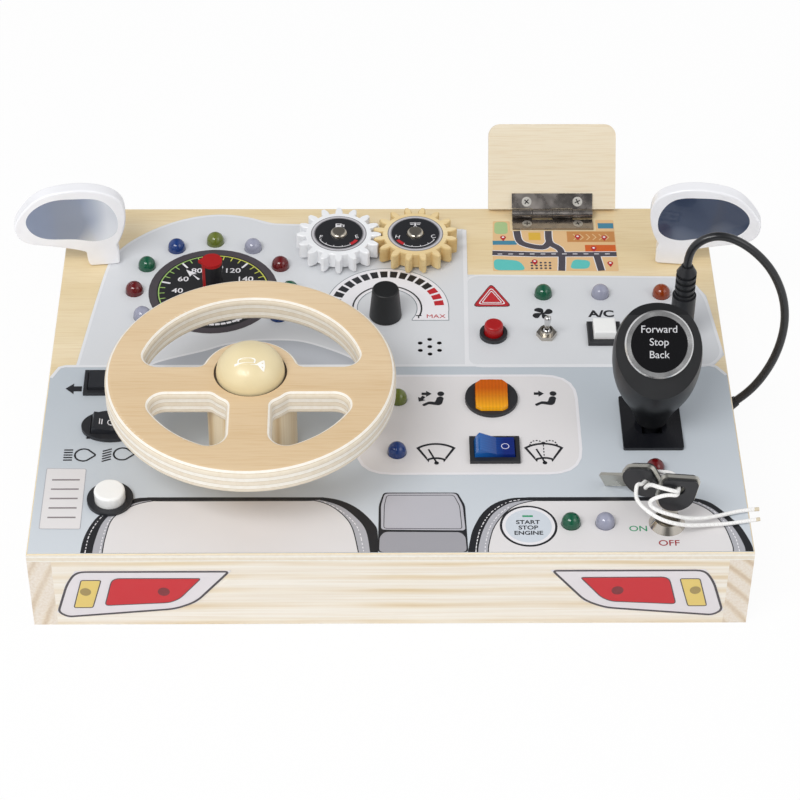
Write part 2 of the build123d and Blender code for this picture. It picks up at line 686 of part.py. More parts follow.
def light_film(side):
    """Printed lamp cluster on the front rail."""
    points = [(side * (INNER_W / 2 - inset), z) for inset, z in LIGHT_FILM_OUTLINE]
    face = make_face(Polyline(*points, close=True))
    plane = Plane(origin=(0, -CASE_D / 2, 0), x_dir=(1, 0, 0), z_dir=(0, -1, 0))
    return extrude(plane * face, FILM_T)


def lamps():
    """Round lamps in the panel, and small ones behind the front lamp films."""
    save("light_films", light_film(-1), light_film(1))
    bulbs = []
    for x, y in led_places():
        neck = FILM_TOP + LED_BARREL_ABOVE
        bulb = disc(LED_R, UNDER, neck) + Pos(0, 0, neck) * Sphere(LED_R)
        bulb += disc(LED_FLANGE_R, UNDER - LED_FLANGE_H, UNDER)
        bulbs.append(Pos(x, y, 0) * bulb)
    save("indicator_leds", *bulbs)
    small = []
    for side in (-1, 1):
        for x in LIGHT_LED_XS:
            lamp = Pos(side * x, -CASE_D / 2, LIGHT_LED_Z) * Rot(-90, 0, 0)
            small.append(lamp * (Cylinder(LIGHT_LED_R, RAIL_T, align=BASE)
                                 + Pos(0, 0, RAIL_T) * Cylinder(LIGHT_LED_R + 0.4, 1.0, align=BASE)))
    save("light_leds", *small)


# ---------------------------------------------------------------- steering wheel and horn
def wheel_openings():
    """The three gaps between rim, hub and spokes."""
    far = 2 * WHEEL_R
    gap = Circle(RIM_INNER_R) - Circle(HUB_R)
    upper = gap & Pos(0, SPOKE_TOP + far / 2) * Rectangle(far, far)
    openings = [upper]
    for side in (-1, 1):
        corner = Pos(side * (LOW_SPOKE_W / 2 + far / 2), SPOKE_BOTTOM - far / 2) * Rectangle(far, far)
        openings.append(gap & corner)
    return [round_corners(opening) for opening in openings]


def round_corners(opening):
    """Round an opening's corners, wide at the rim and small at the hub."""
    middle_r = (RIM_INNER_R + HUB_R) / 2
    rim_side = [v for v in opening.vertices() if math.hypot(v.X, v.Y) > middle_r]
    rounded = fillet(rim_side, RIM_CORNER_R)
    hub_side = [v for v in rounded.vertices() if math.hypot(v.X, v.Y) < middle_r]
    return fillet(hub_side, HUB_CORNER_R)


def steering():
    """Plywood wheel on its column, with the horn in the middle."""
    collar_r = HORN_SHELL_R + HORN_COLLAR
    groove_low = WHEEL_Z + HORN_GROOVE_Z
    wheel = slab(Circle(WHEEL_R), WHEEL_Z, WHEEL_TOP)
    for opening in wheel_openings():
        wheel -= slab(opening, WHEEL_Z, WHEEL_TOP)
    faces = wheel.faces().sort_by(Axis.Z)
    wheel = fillet(faces[0].edges() + faces[-1].edges(), WHEEL_ROUND)
    wheel -= disc(HORN_SHELL_R + 2 * RUN, WHEEL_Z, WHEEL_TOP)
    wheel -= disc(collar_r + 2 * RUN, groove_low, groove_low + HORN_COLLAR_H + 4 * RUN)
    spot = Pos(WHEEL_X, WHEEL_Y, 0)
    save("steering_wheel", spot * wheel)

    column = disc(COLUMN_R, TOP, TOP + COLUMN_H) - disc(WIRE_HOLE_R, TOP, HORN_FLOOR_Z)
    column -= disc(HORN_SHELL_R + RUN, HORN_FLOOR_Z, TOP + COLUMN_H)
    save("steering_column", spot * column)

    floor_top = HORN_FLOOR_Z + HORN_FLOOR_T
    bore_r = HORN_SHELL_R - HORN_SHELL_WALL
    shell = disc(HORN_SHELL_R, HORN_FLOOR_Z, WHEEL_TOP - HORN_SHELL_DROP)
    shell += disc(collar_r, groove_low + 2 * RUN, groove_low + HORN_COLLAR_H + 2 * RUN)
    shell -= disc(bore_r, floor_top, WHEEL_TOP) + disc(WIRE_HOLE_R, HORN_FLOOR_Z, floor_top)
    save("horn_housing", spot * shell)

    button_r = bore_r - 2 * RUN
    dome = Pos(0, 0, WHEEL_TOP) * scale(Sphere(button_r), (1, 1, HORN_DOME_H / button_r))
    dome &= disc(button_r, WHEEL_TOP, WHEEL_TOP + 2 * HORN_DOME_H)
    low = WHEEL_TOP - HORN_SKIRT
    button = disc(button_r, low, WHEEL_TOP) + dome - disc(HORN_RECESS_R, low, low + HORN_RECESS_H)
    save("horn_button", spot * button)

    spring_low = floor_top + HORN_WIRE_R
    height = low + HORN_RECESS_H - HORN_WIRE_R - spring_low
    coil = Helix(height / HORN_SPRING_TURNS, height, HORN_SPRING_R)
    wire = sweep(Plane(coil @ 0, z_dir=coil % 0) * Circle(HORN_WIRE_R), path=coil, is_frenet=True)
    save("horn_spring", spot * Pos(0, 0, spring_low) * wire)


# ---------------------------------------------------------------- gears
def involute(angle):
    return math.tan(angle) - angle


def gear_outline():
    """Involute gear outline with one tooth on the +X side."""
    pitch_r = GEAR_MODULE * GEAR_TEETH / 2
    base_r = pitch_r * math.cos(math.radians(GEAR_PRESSURE))
    tip_r = pitch_r + GEAR_ADDENDUM
    root_r = pitch_r - GEAR_DEDENDUM
    half_pitch = math.pi / (2 * GEAR_TEETH) - GEAR_BACKLASH / (2 * pitch_r)
    start = half_pitch + involute(math.radians(GEAR_PRESSURE))
    flank = []
    for i in range(5):
        r = base_r + (tip_r - base_r) * i / 4
        turn = start - involute(math.acos(base_r / r))
        flank.append((r * math.cos(turn), r * math.sin(turn)))
    mirrored = [(x, -y) for x, y in flank]
    foot = root_r - 1.0
    foot_point = (foot * math.cos(start), foot * math.sin(start))
    foot_mirror = (foot_point[0], -foot_point[1])
    sides = Spline(*flank) + Spline(*mirrored)
    ends = Line(flank[-1], mirrored[-1]) + Polyline(flank[0], foot_point, foot_mirror, mirrored[0])
    tooth = make_face(sides + ends)
    outline = Circle(root_r)
    for i in range(GEAR_TEETH):
        outline += Rot(0, 0, 360.0 * i / GEAR_TEETH) * tooth
    return outline


def gears():
    """Two meshed wooden gears, each on a riveted axle."""
    body = slab(gear_outline(), GEAR_Z, GEAR_Z + GEAR_T)
    faces = body.faces().sort_by(Axis.Z)
    body = chamfer(faces[0].edges() + faces[-1].edges(), GEAR_EDGE)
    body -= disc(AXLE_R + RUN, GEAR_Z, GEAR_Z + GEAR_T)
    (white_x, white_y), (plain_x, plain_y) = gear_places()
    half_tooth = 180.0 / GEAR_TEETH
    save("white_gear", Pos(white_x, white_y, 0) * body)
    save("natural_gear", Pos(plain_x, plain_y, 0) * Rot(0, 0, 180.0 + half_tooth) * body)
    axles = []
    head_z = GEAR_Z + GEAR_T + 2 * RUN
    for x, y in gear_places():
        axle = disc(AXLE_FLANGE_R, UNDER - AXLE_FLANGE_H, UNDER) + disc(AXLE_R, UNDER, head_z)
        axle += disc(AXLE_COLLAR_R, TOP, GEAR_Z - 2 * RUN)
        dome = disc(AXLE_HEAD_R, head_z, head_z + AXLE_HEAD_H)
        dome = fillet(dome.edges().sort_by(Axis.Z)[-1], AXLE_HEAD_H * 0.9)
        axles.append(Pos(x, y, 0) * (axle + dome))
    save("gear_axles", *axles)


# ---------------------------------------------------------------- map door and hinge
def knuckle_spans():
    """Start and end of every knuckle along X."""
    step = HINGE_L / HINGE_KNUCKLES
    start = DOOR_X - HINGE_L / 2
    half_gap = HINGE_KNUCKLE_GAP / 2
    return [(start + i * step + half_gap, start + (i + 1) * step - half_gap) for i in range(HINGE_KNUCKLES)]


def hinge_leaf(spans):
    """A flat leaf lying towards -Y from the pin, with its knuckles, pin at the origin."""
    low = -HINGE_KNUCKLE_R
    clear = HINGE_KNUCKLE_R + GAP
    depth = HINGE_LEAF_W - clear
    leaf = block(HINGE_L, depth, low, low + HINGE_LEAF_T, DOOR_X, -clear - depth / 2)
    for start, end in spans:
        mid = (start + end) / 2
        leaf += block(end - start, clear, low, low + HINGE_LEAF_T, mid, -clear / 2)
        leaf += Pos(mid, 0, 0) * Rot(0, 90, 0) * Cylinder(HINGE_KNUCKLE_R, end - start)
    leaf -= Pos(DOOR_X, 0, 0) * Rot(0, 90, 0) * Cylinder(HINGE_PIN_R + RUN, 2 * HINGE_L)
    for x in hinge_screw_xs():
        hole = Pos(x, -HINGE_SCREW_OUT, low + HINGE_LEAF_T) * Rot(180, 0, 0)
        leaf -= hole * screw(HINGE_SCREW_R, HINGE_SCREW_L, HINGE_HEAD_R, HINGE_HEAD_H)
    return leaf


def leaf_screws():
    """Two small screws through a leaf, pin at the origin."""
    low = -HINGE_KNUCKLE_R + HINGE_LEAF_T
    shape = screw(HINGE_SCREW_R, HINGE_SCREW_L, HINGE_HEAD_R, HINGE_HEAD_H)
    return [Pos(x, -HINGE_SCREW_OUT, low) * Rot(180, 0, 0) * shape for x in hinge_screw_xs()]


def map_door():
    """Small plywood door that leans open on a steel butt hinge."""
    spans = knuckle_spans()
    closed = Pos(0, HINGE_Y, HINGE_Z)
    opened = closed * Rot(-(90 + DOOR_LEAN), 0, 0)
    save("hinge_fixed_leaf", closed * hinge_leaf(spans[0::2]))
    save("hinge_fixed_screws", *[closed * s for s in leaf_screws()])
    flip = Pos(2 * DOOR_X, 0, 0) * Rot(0, 180, 0)
    save("hinge_moving_leaf", opened * flip * hinge_leaf(mirror_spans(spans[1::2])))
    save("hinge_moving_screws", *[opened * flip * s for s in leaf_screws()])
    pin = Pos(DOOR_X, 0, 0) * Rot(0, 90, 0) * Cylinder(HINGE_PIN_R, HINGE_L)
    save("hinge_pin", closed * pin)

    outline = Pos(DOOR_X, -(DOOR_START + DOOR_L / 2)) * Rectangle(DOOR_W, DOOR_L)
    outline = fillet(outline.vertices().sort_by(Axis.Y)[:2], DOOR_CORNER_R)
    door = slab(outline, HINGE_KNUCKLE_R, HINGE_KNUCKLE_R + DOOR_T)
    top_edges = door.faces().sort_by(Axis.Z)[-1].edges()
    door = fillet(top_edges, 0.5)
    depth = HINGE_SCREW_L - HINGE_LEAF_T
    door -= [disc(HINGE_SCREW_R, HINGE_KNUCKLE_R, HINGE_KNUCKLE_R + depth, x, -HINGE_SCREW_OUT)
             for x in hinge_screw_xs()]
    save("map_door", opened * door)


def mirror_spans(spans):
    """The same spans seen from the other side of the door's middle."""
    return [(2 * DOOR_X - end, 2 * DOOR_X - start) for start, end in spans]


# ---------------------------------------------------------------- mirrors
def wing_mirror(side, name):
    """Painted plywood wing mirror on a dowel, and its pane."""
    head = [(side * x, z) for x, z in MIRROR_HEAD]
    foot = [(side * x, z) for x, z in MIRROR_FOOT]
    outline = make_face(Spline(*head) + Polyline(head[-1], *foot, head[0]))
    outline = fillet(outline.vertices(), MIRROR_CORNER_R)
    face = Plane(origin=(0, -MIRROR_T / 2, FILM_TOP + MIRROR_LIFT), x_dir=(1, 0, 0), z_dir=(0, -1, 0))
    plate = extrude(face * outline, -MIRROR_T)
    long_edges = plate.edges().filter_by(lambda e: abs(abs(e.center().Y) - MIRROR_T / 2) < 0.01)
    plate = fillet(long_edges, MIRROR_EDGE_R)
    pane_outline = make_face(Spline(*[(side * x, z) for x, z in MIRROR_PANE], periodic=True))
    pane = extrude(face * pane_outline, -MIRROR_GLASS_T)
    plate -= pane
    dowel = disc(DOWEL_R, TOP - DOWEL_IN_PANEL + HOLE_GAP, TOP - DOWEL_IN_PANEL + DOWEL_L)
    plate -= dowel
    spot = Pos(side * MIRROR_X, MIRROR_Y, 0) * Rot(0, 0, -side * MIRROR_YAW)
    save(name, spot * plate, spot * dowel)
    save(f"{name}_glass", spot * pane)


# ---------------------------------------------------------------- gear lever
def lever():
    """Selector lever: plate with ears, shaft, turned knob with a slanted cap."""
    spot = Pos(LEVER_X, LEVER_Y, 0)
    plate_top = FILM_TOP + LEVER_PLATE_T
    outline = fillet(Rectangle(LEVER_PLATE_W, LEVER_PLATE_D).vertices(), LEVER_PLATE_CORNER_R)
    plate = slab(outline, FILM_TOP, plate_top)
    plate -= block(LEVER_SLOT_W, LEVER_SLOT_D, FILM_TOP, plate_top)
    ear_low = LEVER_PIVOT_Z - LEVER_EAR_DROP
    ear_x = (LEVER_SLOT_W + LEVER_EAR_T) / 2
    for side in (-1, 1):
        plate += block(LEVER_EAR_T, LEVER_EAR_D, ear_low, FILM_TOP, side * ear_x, 0)
    pin_l = LEVER_SLOT_W + 2 * LEVER_EAR_T
    plate -= Pos(0, 0, LEVER_PIVOT_Z) * Rot(0, 90, 0) * Cylinder(LEVER_PIN_R + RUN, pin_l)
    save("lever_plate", spot * plate)

    shaft = disc(LEVER_SHAFT_R, LEVER_PIVOT_Z - LEVER_SHAFT_R, LEVER_SHAFT_TOP)
    shaft += Pos(0, 0, LEVER_PIVOT_Z) * Rot(0, 90, 0) * Cylinder(LEVER_PIN_R, pin_l)
    save("lever_shaft", spot * shaft)

    outer = [(r, TOP + z) for z, r in LEVER_PROFILE]
    low = TOP + LEVER_PROFILE[0][0]
    high = TOP + LEVER_PROFILE[-1][0]
    section = make_face(Spline(*outer) + Polyline(outer[-1], (0, high), (0, low), outer[0]))
    knob = revolve(Plane.XZ * section, Axis.Z)
    cap_plane = Pos(0, -LEVER_CAP_FORWARD, TOP + LEVER_CAP_UP) * Rot(90 - LEVER_CAP_TILT, 0, 0)
    big = 6 * LEVER_RING_R
    knob -= cap_plane * Box(big, big, big, align=BASE)
    knob -= disc(LEVER_SHAFT_R, low, LEVER_SHAFT_TOP)
    seat = cap_plane * Pos(0, 0, -LEVER_RING_SEAT)
    ring_solid = Cylinder(LEVER_RING_R, LEVER_RING_SEAT + LEVER_RING_H, align=BASE)
    ring_solid = chamfer(ring_solid.edges().sort_by(Axis.Z)[-1], 0.6)
    knob -= seat * Cylinder(LEVER_RING_R, LEVER_RING_SEAT, align=BASE)
    knob += seat * Cylinder(LEVER_DISC_R, LEVER_RING_SEAT + LEVER_DISC_H, align=BASE)
    save("lever_knob", spot * knob)
    ring_solid -= Cylinder(LEVER_DISC_R, LEVER_RING_SEAT + LEVER_RING_H, align=BASE)
    save("lever_ring", spot * seat * ring_solid)


# ---------------------------------------------------------------- toggle and knobs
def toggle():
    """Small toggle switch with its nut, and the bat lever in its ball joint."""
    width, depth, height = TOGGLE_BODY
    body_top = UNDER
    switch = block(width, depth, body_top - height, body_top)
    switch += disc(TOGGLE_BUSH_R, body_top, TOGGLE_BUSH_TOP)
    switch += slab(RegularPolygon(TOGGLE_NUT_AF / 2, 6, major_radius=False), FILM_TOP, FILM_TOP + TOGGLE_NUT_H)
    switch -= disc(TOGGLE_BORE_R, body_top, TOGGLE_BUSH_TOP)
    save("toggle_switch", Pos(*TOGGLE_POS, 0) * switch)
    bat = Sphere(TOGGLE_BALL_R) + cone(TOGGLE_BAT_R, TOGGLE_TIP_R, 0, TOGGLE_BAT_L - TOGGLE_TIP_R)
    bat += Pos(0, 0, TOGGLE_BAT_L - TOGGLE_TIP_R) * Sphere(TOGGLE_TIP_R)
    spot = Pos(*TOGGLE_POS, TOGGLE_PIVOT_Z) * Rot(TOGGLE_LEAN, 0, 0)
    save("toggle_lever", spot * bat)


def knobs():
    """Volume and speed knobs on their potentiometers."""
    low = FILM_TOP + GAP
    shaft_low = POT_BODY_Z + 2.0
    shaft = disc(POT_SHAFT_R, shaft_low, low + SHAFT_IN_KNOB)
    volume = cone(VOLUME_BASE_R, VOLUME_TOP_R, low, low + VOLUME_H)
    volume = fillet(volume.edges().sort_by(Axis.Z)[-1], 0.8) - shaft
    save("volume_knob", Pos(*VOLUME_POS, 0) * volume, Pos(*VOLUME_POS, 0) * shaft)
    speed = disc(SPEED_R, low, low + SPEED_H) - shaft
    save("speed_knob", Pos(*SPEED_POS, 0) * speed, Pos(*SPEED_POS, 0) * shaft)
    pointer_plan = Circle(SPEED_R) + make_face(Polyline(
        (0, -SPEED_R), (-SPEED_CAP_REACH, 0), (0, SPEED_R), close=True))
    pointer = slab(pointer_plan, low + SPEED_H, low + SPEED_H + SPEED_CAP_H)
    save("speed_pointer", Pos(*SPEED_POS, 0) * pointer)
    pots = []
    for place in (VOLUME_POS, SPEED_POS):
        pot = disc(POT_BODY_R, POT_BODY_Z, UNDER) + disc(POT_BUSH_R, POT_BODY_Z, FILM_TOP)
        pot -= disc(POT_SHAFT_R + RUN, shaft_low - RUN, FILM_TOP)
        pots.append(Pos(*place, 0) * pot)
    save("knob_pots", *pots)


# ---------------------------------------------------------------- charging lead
def charging():
    """Socket in the panel, plug with a ribbed neck, and its lead."""
    spot = Pos(*SOCKET_POS, 0)
    flange_top = FILM_TOP + SOCKET_FLANGE_H
    socket = disc(SOCKET_FLANGE_R, FILM_TOP, flange_top) + disc(SOCKET_BODY_R, flange_top - SOCKET_DEPTH, FILM_TOP)
    socket -= disc(PLUG_BARREL_R + RUN, flange_top - PLUG_BARREL_L - GAP, flange_top)
    save("charge_socket", spot * socket)

    grip_low = flange_top + 2 * RUN
    grip_top = grip_low + PLUG_GRIP_H
    neck_top = grip_top + PLUG_NECK_H
    barrel = disc(PLUG_BARREL_R, flange_top - PLUG_BARREL_L, grip_low)
    grip = disc(PLUG_GRIP_R, grip_low, grip_top) + disc(PLUG_NECK_R, grip_top, neck_top)
    grip += cone(PLUG_NECK_R, PLUG_TAIL_R, neck_top, PLUG_TOP)
    step = PLUG_NECK_H / PLUG_RIBS
    for i in range(PLUG_RIBS):
        low = grip_top + (i + 0.5) * step
        grip -= disc(PLUG_NECK_R, low, low + step / 2) - disc(PLUG_NECK_R - PLUG_RIB_DEPTH, low, low + step / 2)
    save("charge_plug", spot * grip, spot * barrel)

    tip = Vector(*CHARGE_ROUTE[-1])
    root = gland_place()
    sleeve = Plane(origin=root, z_dir=tip - root) * Cone(GLAND_ROOT_R, GLAND_TIP_R, (tip - root).length, align=BASE)
    face = Pos(root) * Rot(0, 90, 0)
    flange = face * Cylinder(GLAND_FLANGE_R, GLAND_FLANGE_H, align=BASE)
    inner = face * Rot(180, 0, 0) * Cylinder(GLAND_HOLE_R, RAIL_T, align=BASE)
    reach = 2 * (tip - root).length
    keep = Pos(root) * Box(reach, reach, reach, align=(Align.MIN, Align.CENTER, Align.CENTER))
    save("cord_gland", (sleeve & keep) + flange + inner)
    save("charge_cord", cord_tube(CHARGE_ROUTE, CHARGE_D, "charge_cord"))


def cord_tube(route, diameter, name):
    """A round cord: straight runs joined by tangent arcs as large as the runs allow."""
    points = [Vector(*p) for p in route]
    radii = []
    for before, here, after in zip(points, points[1:], points[2:]):
        run = min((here - before).length, (after - here).length)
        turn = math.radians((here - before).get_angle(after - here))
        radii.append(0.45 * run / math.tan(turn / 2))
    print(name, "radii", [round(r, 1) for r in radii])
    path = FilletPolyline(*points, radius=radii)
    tube = sweep(Plane(path @ 0, z_dir=path % 0) * Circle(diameter / 2), path=path)
    print(name, "length", round(path.length, 1), "volume ratio",
          round(tube.volume / (math.pi * diameter ** 2 / 4 * path.length), 4))
    return tube


# ---------------------------------------------------------------- lock and keys
def key(front, up, mouth):
    """A flat key: steel blade and bow, with a plastic pad on each side of the bow."""
    plane = Plane(origin=mouth, x_dir=up.cross(front), z_dir=front)
    bow_mid = KEY_BLADE_OUT + KEY_BOW_H / 2

    def bow(width, height):
        shape = Pos(0, bow_mid) * Rectangle(width, height)
        corners = shape.vertices().sort_by(Axis.Y)
        shape = fillet(corners[2:], KEY_CORNER_R)
        low = shape.vertices().sort_by(Axis.Y)[:2]
        return fillet(low, KEY_SHOULDER_R)

    hole = Pos(0, KEY_BLADE_OUT + KEY_HOLE_UP) * Circle(KEY_HOLE_R)
    blade = Pos(0, KEY_BLADE_OUT - KEY_BLADE_L / 2 + 1) * Rectangle(KEY_BLADE_W, KEY_BLADE_L + 2)
    half = KEY_METAL_T / 2
    metal = extrude(plane * (bow(KEY_BOW_W, KEY_BOW_H) + blade - hole), half, both=True)
    pad_face = bow(KEY_BOW_W - 2 * KEY_PAD_MARGIN, KEY_BOW_H - 2 * KEY_PAD_MARGIN) - hole
    pads = []
    for sign in (-1, 1):
        pad_plane = plane.offset(sign * half)
        pads.append(extrude(pad_plane * pad_face, sign * KEY_PAD_T))
    return metal, pads, extrude(plane * blade, half, both=True)


def lock_and_keys():
    """Key switch, the key in it, and the spare on the same cord."""
    spot = Pos(*LOCK_POS, 0)
    mouth_z = FILM_TOP + LOCK_H
    body = cone(LOCK_BASE_R, LOCK_FACE_R, FILM_TOP, mouth_z) + disc(LOCK_BODY_R, mouth_z - LOCK_DEPTH, FILM_TOP)
    body += disc(LOCK_NUT_R, UNDER - LOCK_NUT_H, UNDER)
    body -= disc(BARREL_R + RUN, mouth_z - LOCK_DEPTH + 1.0, mouth_z)
    save("lock_body", spot * body)

    turn = math.radians(KEY_TURN)
    lean = math.radians(KEY_LEAN)
    flat = Vector(math.cos(turn), math.sin(turn), 0)
    front = Vector(math.sin(turn), -math.cos(turn), 0)
    up = flat * math.sin(lean) + Vector(0, 0, 1) * math.cos(lean)
    metal, pads, blade = key(front, up, (*LOCK_POS, mouth_z))
    save("ignition_key", metal, *pads)
    barrel = spot * disc(BARREL_R, mouth_z - LOCK_DEPTH + 1.0 + RUN, mouth_z + BARREL_PROUD)
    save("lock_barrel", barrel - blade)

    axis = Vector(*SPARE_AXIS).normalized()
    spare_mouth = Vector(*SPARE_TIP) + axis * (KEY_BLADE_L - KEY_BLADE_OUT)
    side = Vector(*SPARE_FRONT)
    side = (side - axis * side.dot(axis)).normalized()
    metal, pads, blade = key(side, axis, spare_mouth)
    save("spare_key", metal, *pads)
    save("key_cord", cord_tube(KEY_CORD_ROUTE, KEY_CORD_D, "key_cord"))


# ---------------------------------------------------------------- works inside
def works():
    """Battery box with two cells, circuit board and speaker."""
    inside = (BATTERY_L + 2 * GAP, 4 * BATTERY_R + 3 * GAP)
    outer = (inside[0] + 2 * BOX_WALL, inside[1] + 2 * BOX_WALL)
    x, y = BOX_POS
    box = block(*outer, COVER_TOP, COVER_TOP + BOX_H, x, y)
    box -= block(*inside, COVER_TOP + BOX_FLOOR, COVER_TOP + BOX_H, x, y)
    save("battery_box", box)
    cell_z = COVER_TOP + BOX_FLOOR + BATTERY_R
    cells = []
    for side in (-1, 1):
        cell_y = y + side * (BATTERY_R + GAP / 2)
        cells.append(Pos(x, cell_y, cell_z) * Rot(0, 90, 0) * Cylinder(BATTERY_R, BATTERY_L))
    save("batteries", *cells)
    bx, by, bt = BOARD_SIZE
    px, py = BOARD_POS
    board_top = BOARD_Z + bt
    board = block(bx, by, BOARD_Z, board_top, px, py)
    chip = block(CHIP_SIZE[0], CHIP_SIZE[1], board_top, board_top + CHIP_SIZE[2], px - bx / 6, py)
    relay = block(RELAY_SIZE[0], RELAY_SIZE[1], board_top, board_top + RELAY_SIZE[2], px + bx / 4, py + by / 6)
    save("circuit_board", board, chip, relay)
    save("speaker", disc(SPEAKER_R, UNDER - SPEAKER_H, UNDER, *SPEAKER_POS))


case()
film()
lamps()
steering()
gears()
map_door()
wing_mirror(-1, "left_mirror")
wing_mirror(1, "right_mirror")
lever()
rockers()
buttons()
toggle()
knobs()
charging()
lock_and_keys()
works()
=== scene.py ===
"""Wooden busy board shaped like a car dashboard: its looks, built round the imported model."""
import bpy
from math import cos, pi, radians, sin, tan
from mathutils import Matrix, Vector


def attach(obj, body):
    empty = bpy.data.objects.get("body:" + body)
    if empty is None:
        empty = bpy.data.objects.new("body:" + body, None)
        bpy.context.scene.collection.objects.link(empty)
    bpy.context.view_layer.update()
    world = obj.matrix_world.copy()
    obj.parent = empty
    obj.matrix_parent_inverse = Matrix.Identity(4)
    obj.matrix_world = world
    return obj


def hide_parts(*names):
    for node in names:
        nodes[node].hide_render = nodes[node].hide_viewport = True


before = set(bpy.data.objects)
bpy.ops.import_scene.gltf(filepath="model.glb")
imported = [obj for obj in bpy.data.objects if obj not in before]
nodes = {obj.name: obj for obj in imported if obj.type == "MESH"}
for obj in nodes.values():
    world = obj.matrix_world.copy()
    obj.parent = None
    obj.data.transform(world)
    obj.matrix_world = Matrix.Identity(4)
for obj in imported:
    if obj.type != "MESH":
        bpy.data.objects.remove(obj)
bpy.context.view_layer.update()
bpy.ops.object.select_all(action="DESELECT")

# ---------- camera
# A long lens looks down at the board from in front of the table, 43 degrees above it,
# so the sides of the case stay nearly upright.
bpy.ops.object.camera_add(location=(-0.008606, -0.872615, 0.824467))
camera = bpy.context.object
climb, yaw, roll = (radians(a) for a in (42.553, 0.8886, 0.4775))
forward = Vector((sin(yaw) * cos(climb), cos(yaw) * cos(climb), -sin(climb)))
level = Vector((cos(yaw), -sin(yaw), 0))
lift = level.cross(forward)
right = cos(roll) * level + sin(roll) * lift
up = cos(roll) * lift - sin(roll) * level
camera.matrix_world = Matrix.Translation(camera.location) @ Matrix((right, up, -forward)).transposed().to_4x4()
camera.data.sensor_width = 36
camera.data.lens = 2647.06 / 800 * 36
camera.data.clip_start, camera.data.clip_end = 0.05, 20
bpy.context.scene.camera = camera
bpy.context.scene.view_settings.view_transform = "Standard"


# ---------- table and light
# White seamless paper under the board, lit by two soft lamps from the front left and a
# weaker one from the right. Pale walls at both sides give chrome and gloss their edges.
def srgb(code, share=1.0, lift=0.0):
    """An sRGB hex colour as linear numbers, times a share, plus a lift."""
    parts = [int(code[i:i + 2], 16) / 255 for i in (0, 2, 4)]
    linear = [c / 12.92 if c <= 0.04045 else ((c + 0.055) / 1.055) ** 2.4 for c in parts]
    return tuple(c * share + lift for c in linear) + (1.0,)


def feed(tree, node, inputs):
    """Set or link a node's inputs."""
    for key, value in inputs.items():
        if isinstance(value, bpy.types.NodeSocket):
            tree.links.new(value, node.inputs[key])
        else:
            node.inputs[key].default_value = value


def add(tree, kind, inputs=None, out=0, stops=(), **settings):
    """Add a shader node with its settings, inputs and ramp stops, and give one of its outputs."""
    made = tree.nodes.new("ShaderNode" + kind)
    for key, value in settings.items():
        setattr(made, key, value)
    feed(tree, made, inputs or {})
    if stops:
        bar = made.color_ramp.elements
        while len(bar) < len(stops):
            bar.new(0.5)
        for spot, (at, code) in zip(bar, stops):
            spot.position = at
            spot.color = srgb(code)
    return made.outputs[out] if made.outputs else made


def maths(tree, kind, a, b=0.0):
    """One sum."""
    return add(tree, "Math", {0: a, 1: b}, operation=kind)


def spread(tree, value, start=0.0, end=1.0, low=0.0, high=1.0):
    """A value between start and end, moved to lie between low and high."""
    return add(tree, "MapRange", {"Value": value, "From Min": start, "From Max": end, "To Min": low, "To Max": high})


def along(tree, place, axis):
    """One coordinate of a place: 0 for X, 1 for Y, 2 for Z."""
    return add(tree, "SeparateXYZ", {0: place}, axis)


def emptied(owner):
    """The cleared tree of a material or of the world."""
    owner.use_nodes = True
    owner.node_tree.nodes.clear()
    return owner.node_tree


# The paper shows as plain white, and still takes a faint shadow in its last few percent.
PAPER_GLOW = 0.94
paper = bpy.data.materials.new("white_seamless_paper")
tree = emptied(paper)
seen = maths(tree, "MULTIPLY", add(tree, "LightPath", out="Is Camera Ray"), PAPER_GLOW)
matt = add(tree, "BsdfDiffuse", {"Color": srgb("F2F2F2")})
plain = add(tree, "Emission", {"Color": (1, 1, 1, 1), "Strength": 1.0})
add(tree, "OutputMaterial", {"Surface": add(tree, "MixShader", {0: seen, 1: matt, 2: plain})})
bpy.ops.mesh.primitive_plane_add(size=12, location=(0, 0, -0.0002))
table = bpy.context.object
table.name = "table"
table.data.materials.append(paper)

# The world is plain white to the camera, an even cool grey to matt things, and to
# glossy ones dark in front and behind with a pale wall at each side.
ROOM_LIGHT = 0.58
WALL_FROM, WALL_TO, WALL_DARK, WALL_PALE = 0.12, 0.60, 0.18, 0.80
world = bpy.data.worlds.new("studio")
bpy.context.scene.world = world
tree = emptied(world)
clear = maths(tree, "MAXIMUM", *(add(tree, "LightPath", out=ray) for ray in ("Is Camera Ray", "Is Transmission Ray")))
aside = maths(tree, "ABSOLUTE", along(tree, add(tree, "TexCoord", out="Generated"), 0))
walls = spread(tree, aside, WALL_FROM, WALL_TO, WALL_DARK, WALL_PALE)
gleam = add(tree, "Mix", {"Factor": add(tree, "LightPath", out="Is Glossy Ray"), "A": ROOM_LIGHT, "B": walls})
room = add(tree, "Background", {"Color": (0.98, 0.985, 1, 1), "Strength": gleam})
white = add(tree, "Background", {"Color": (1, 1, 1, 1), "Strength": 1.0})
add(tree, "OutputWorld", {"Surface": add(tree, "MixShader", {0: clear, 1: room, 2: white})})

for lamp, spot, wide, power in (
        ("key_lamp", (-0.80, -0.70, 1.30), 0.50, 6.4), ("second_key_lamp", (-0.38, -0.90, 1.35), 0.50, 6.4),
        ("fill_lamp", (1.10, -0.60, 1.10), 0.80, 3.0)):
    bpy.ops.object.light_add(type="AREA", location=spot)
    light = bpy.context.object
    light.name = lamp
    light.data.shape = "SQUARE"
    light.data.size = wide
    light.data.energy = power
    light.rotation_euler = (Vector((0, 0, 0.05)) - Vector(spot)).to_track_quat("-Z", "Y").to_euler()


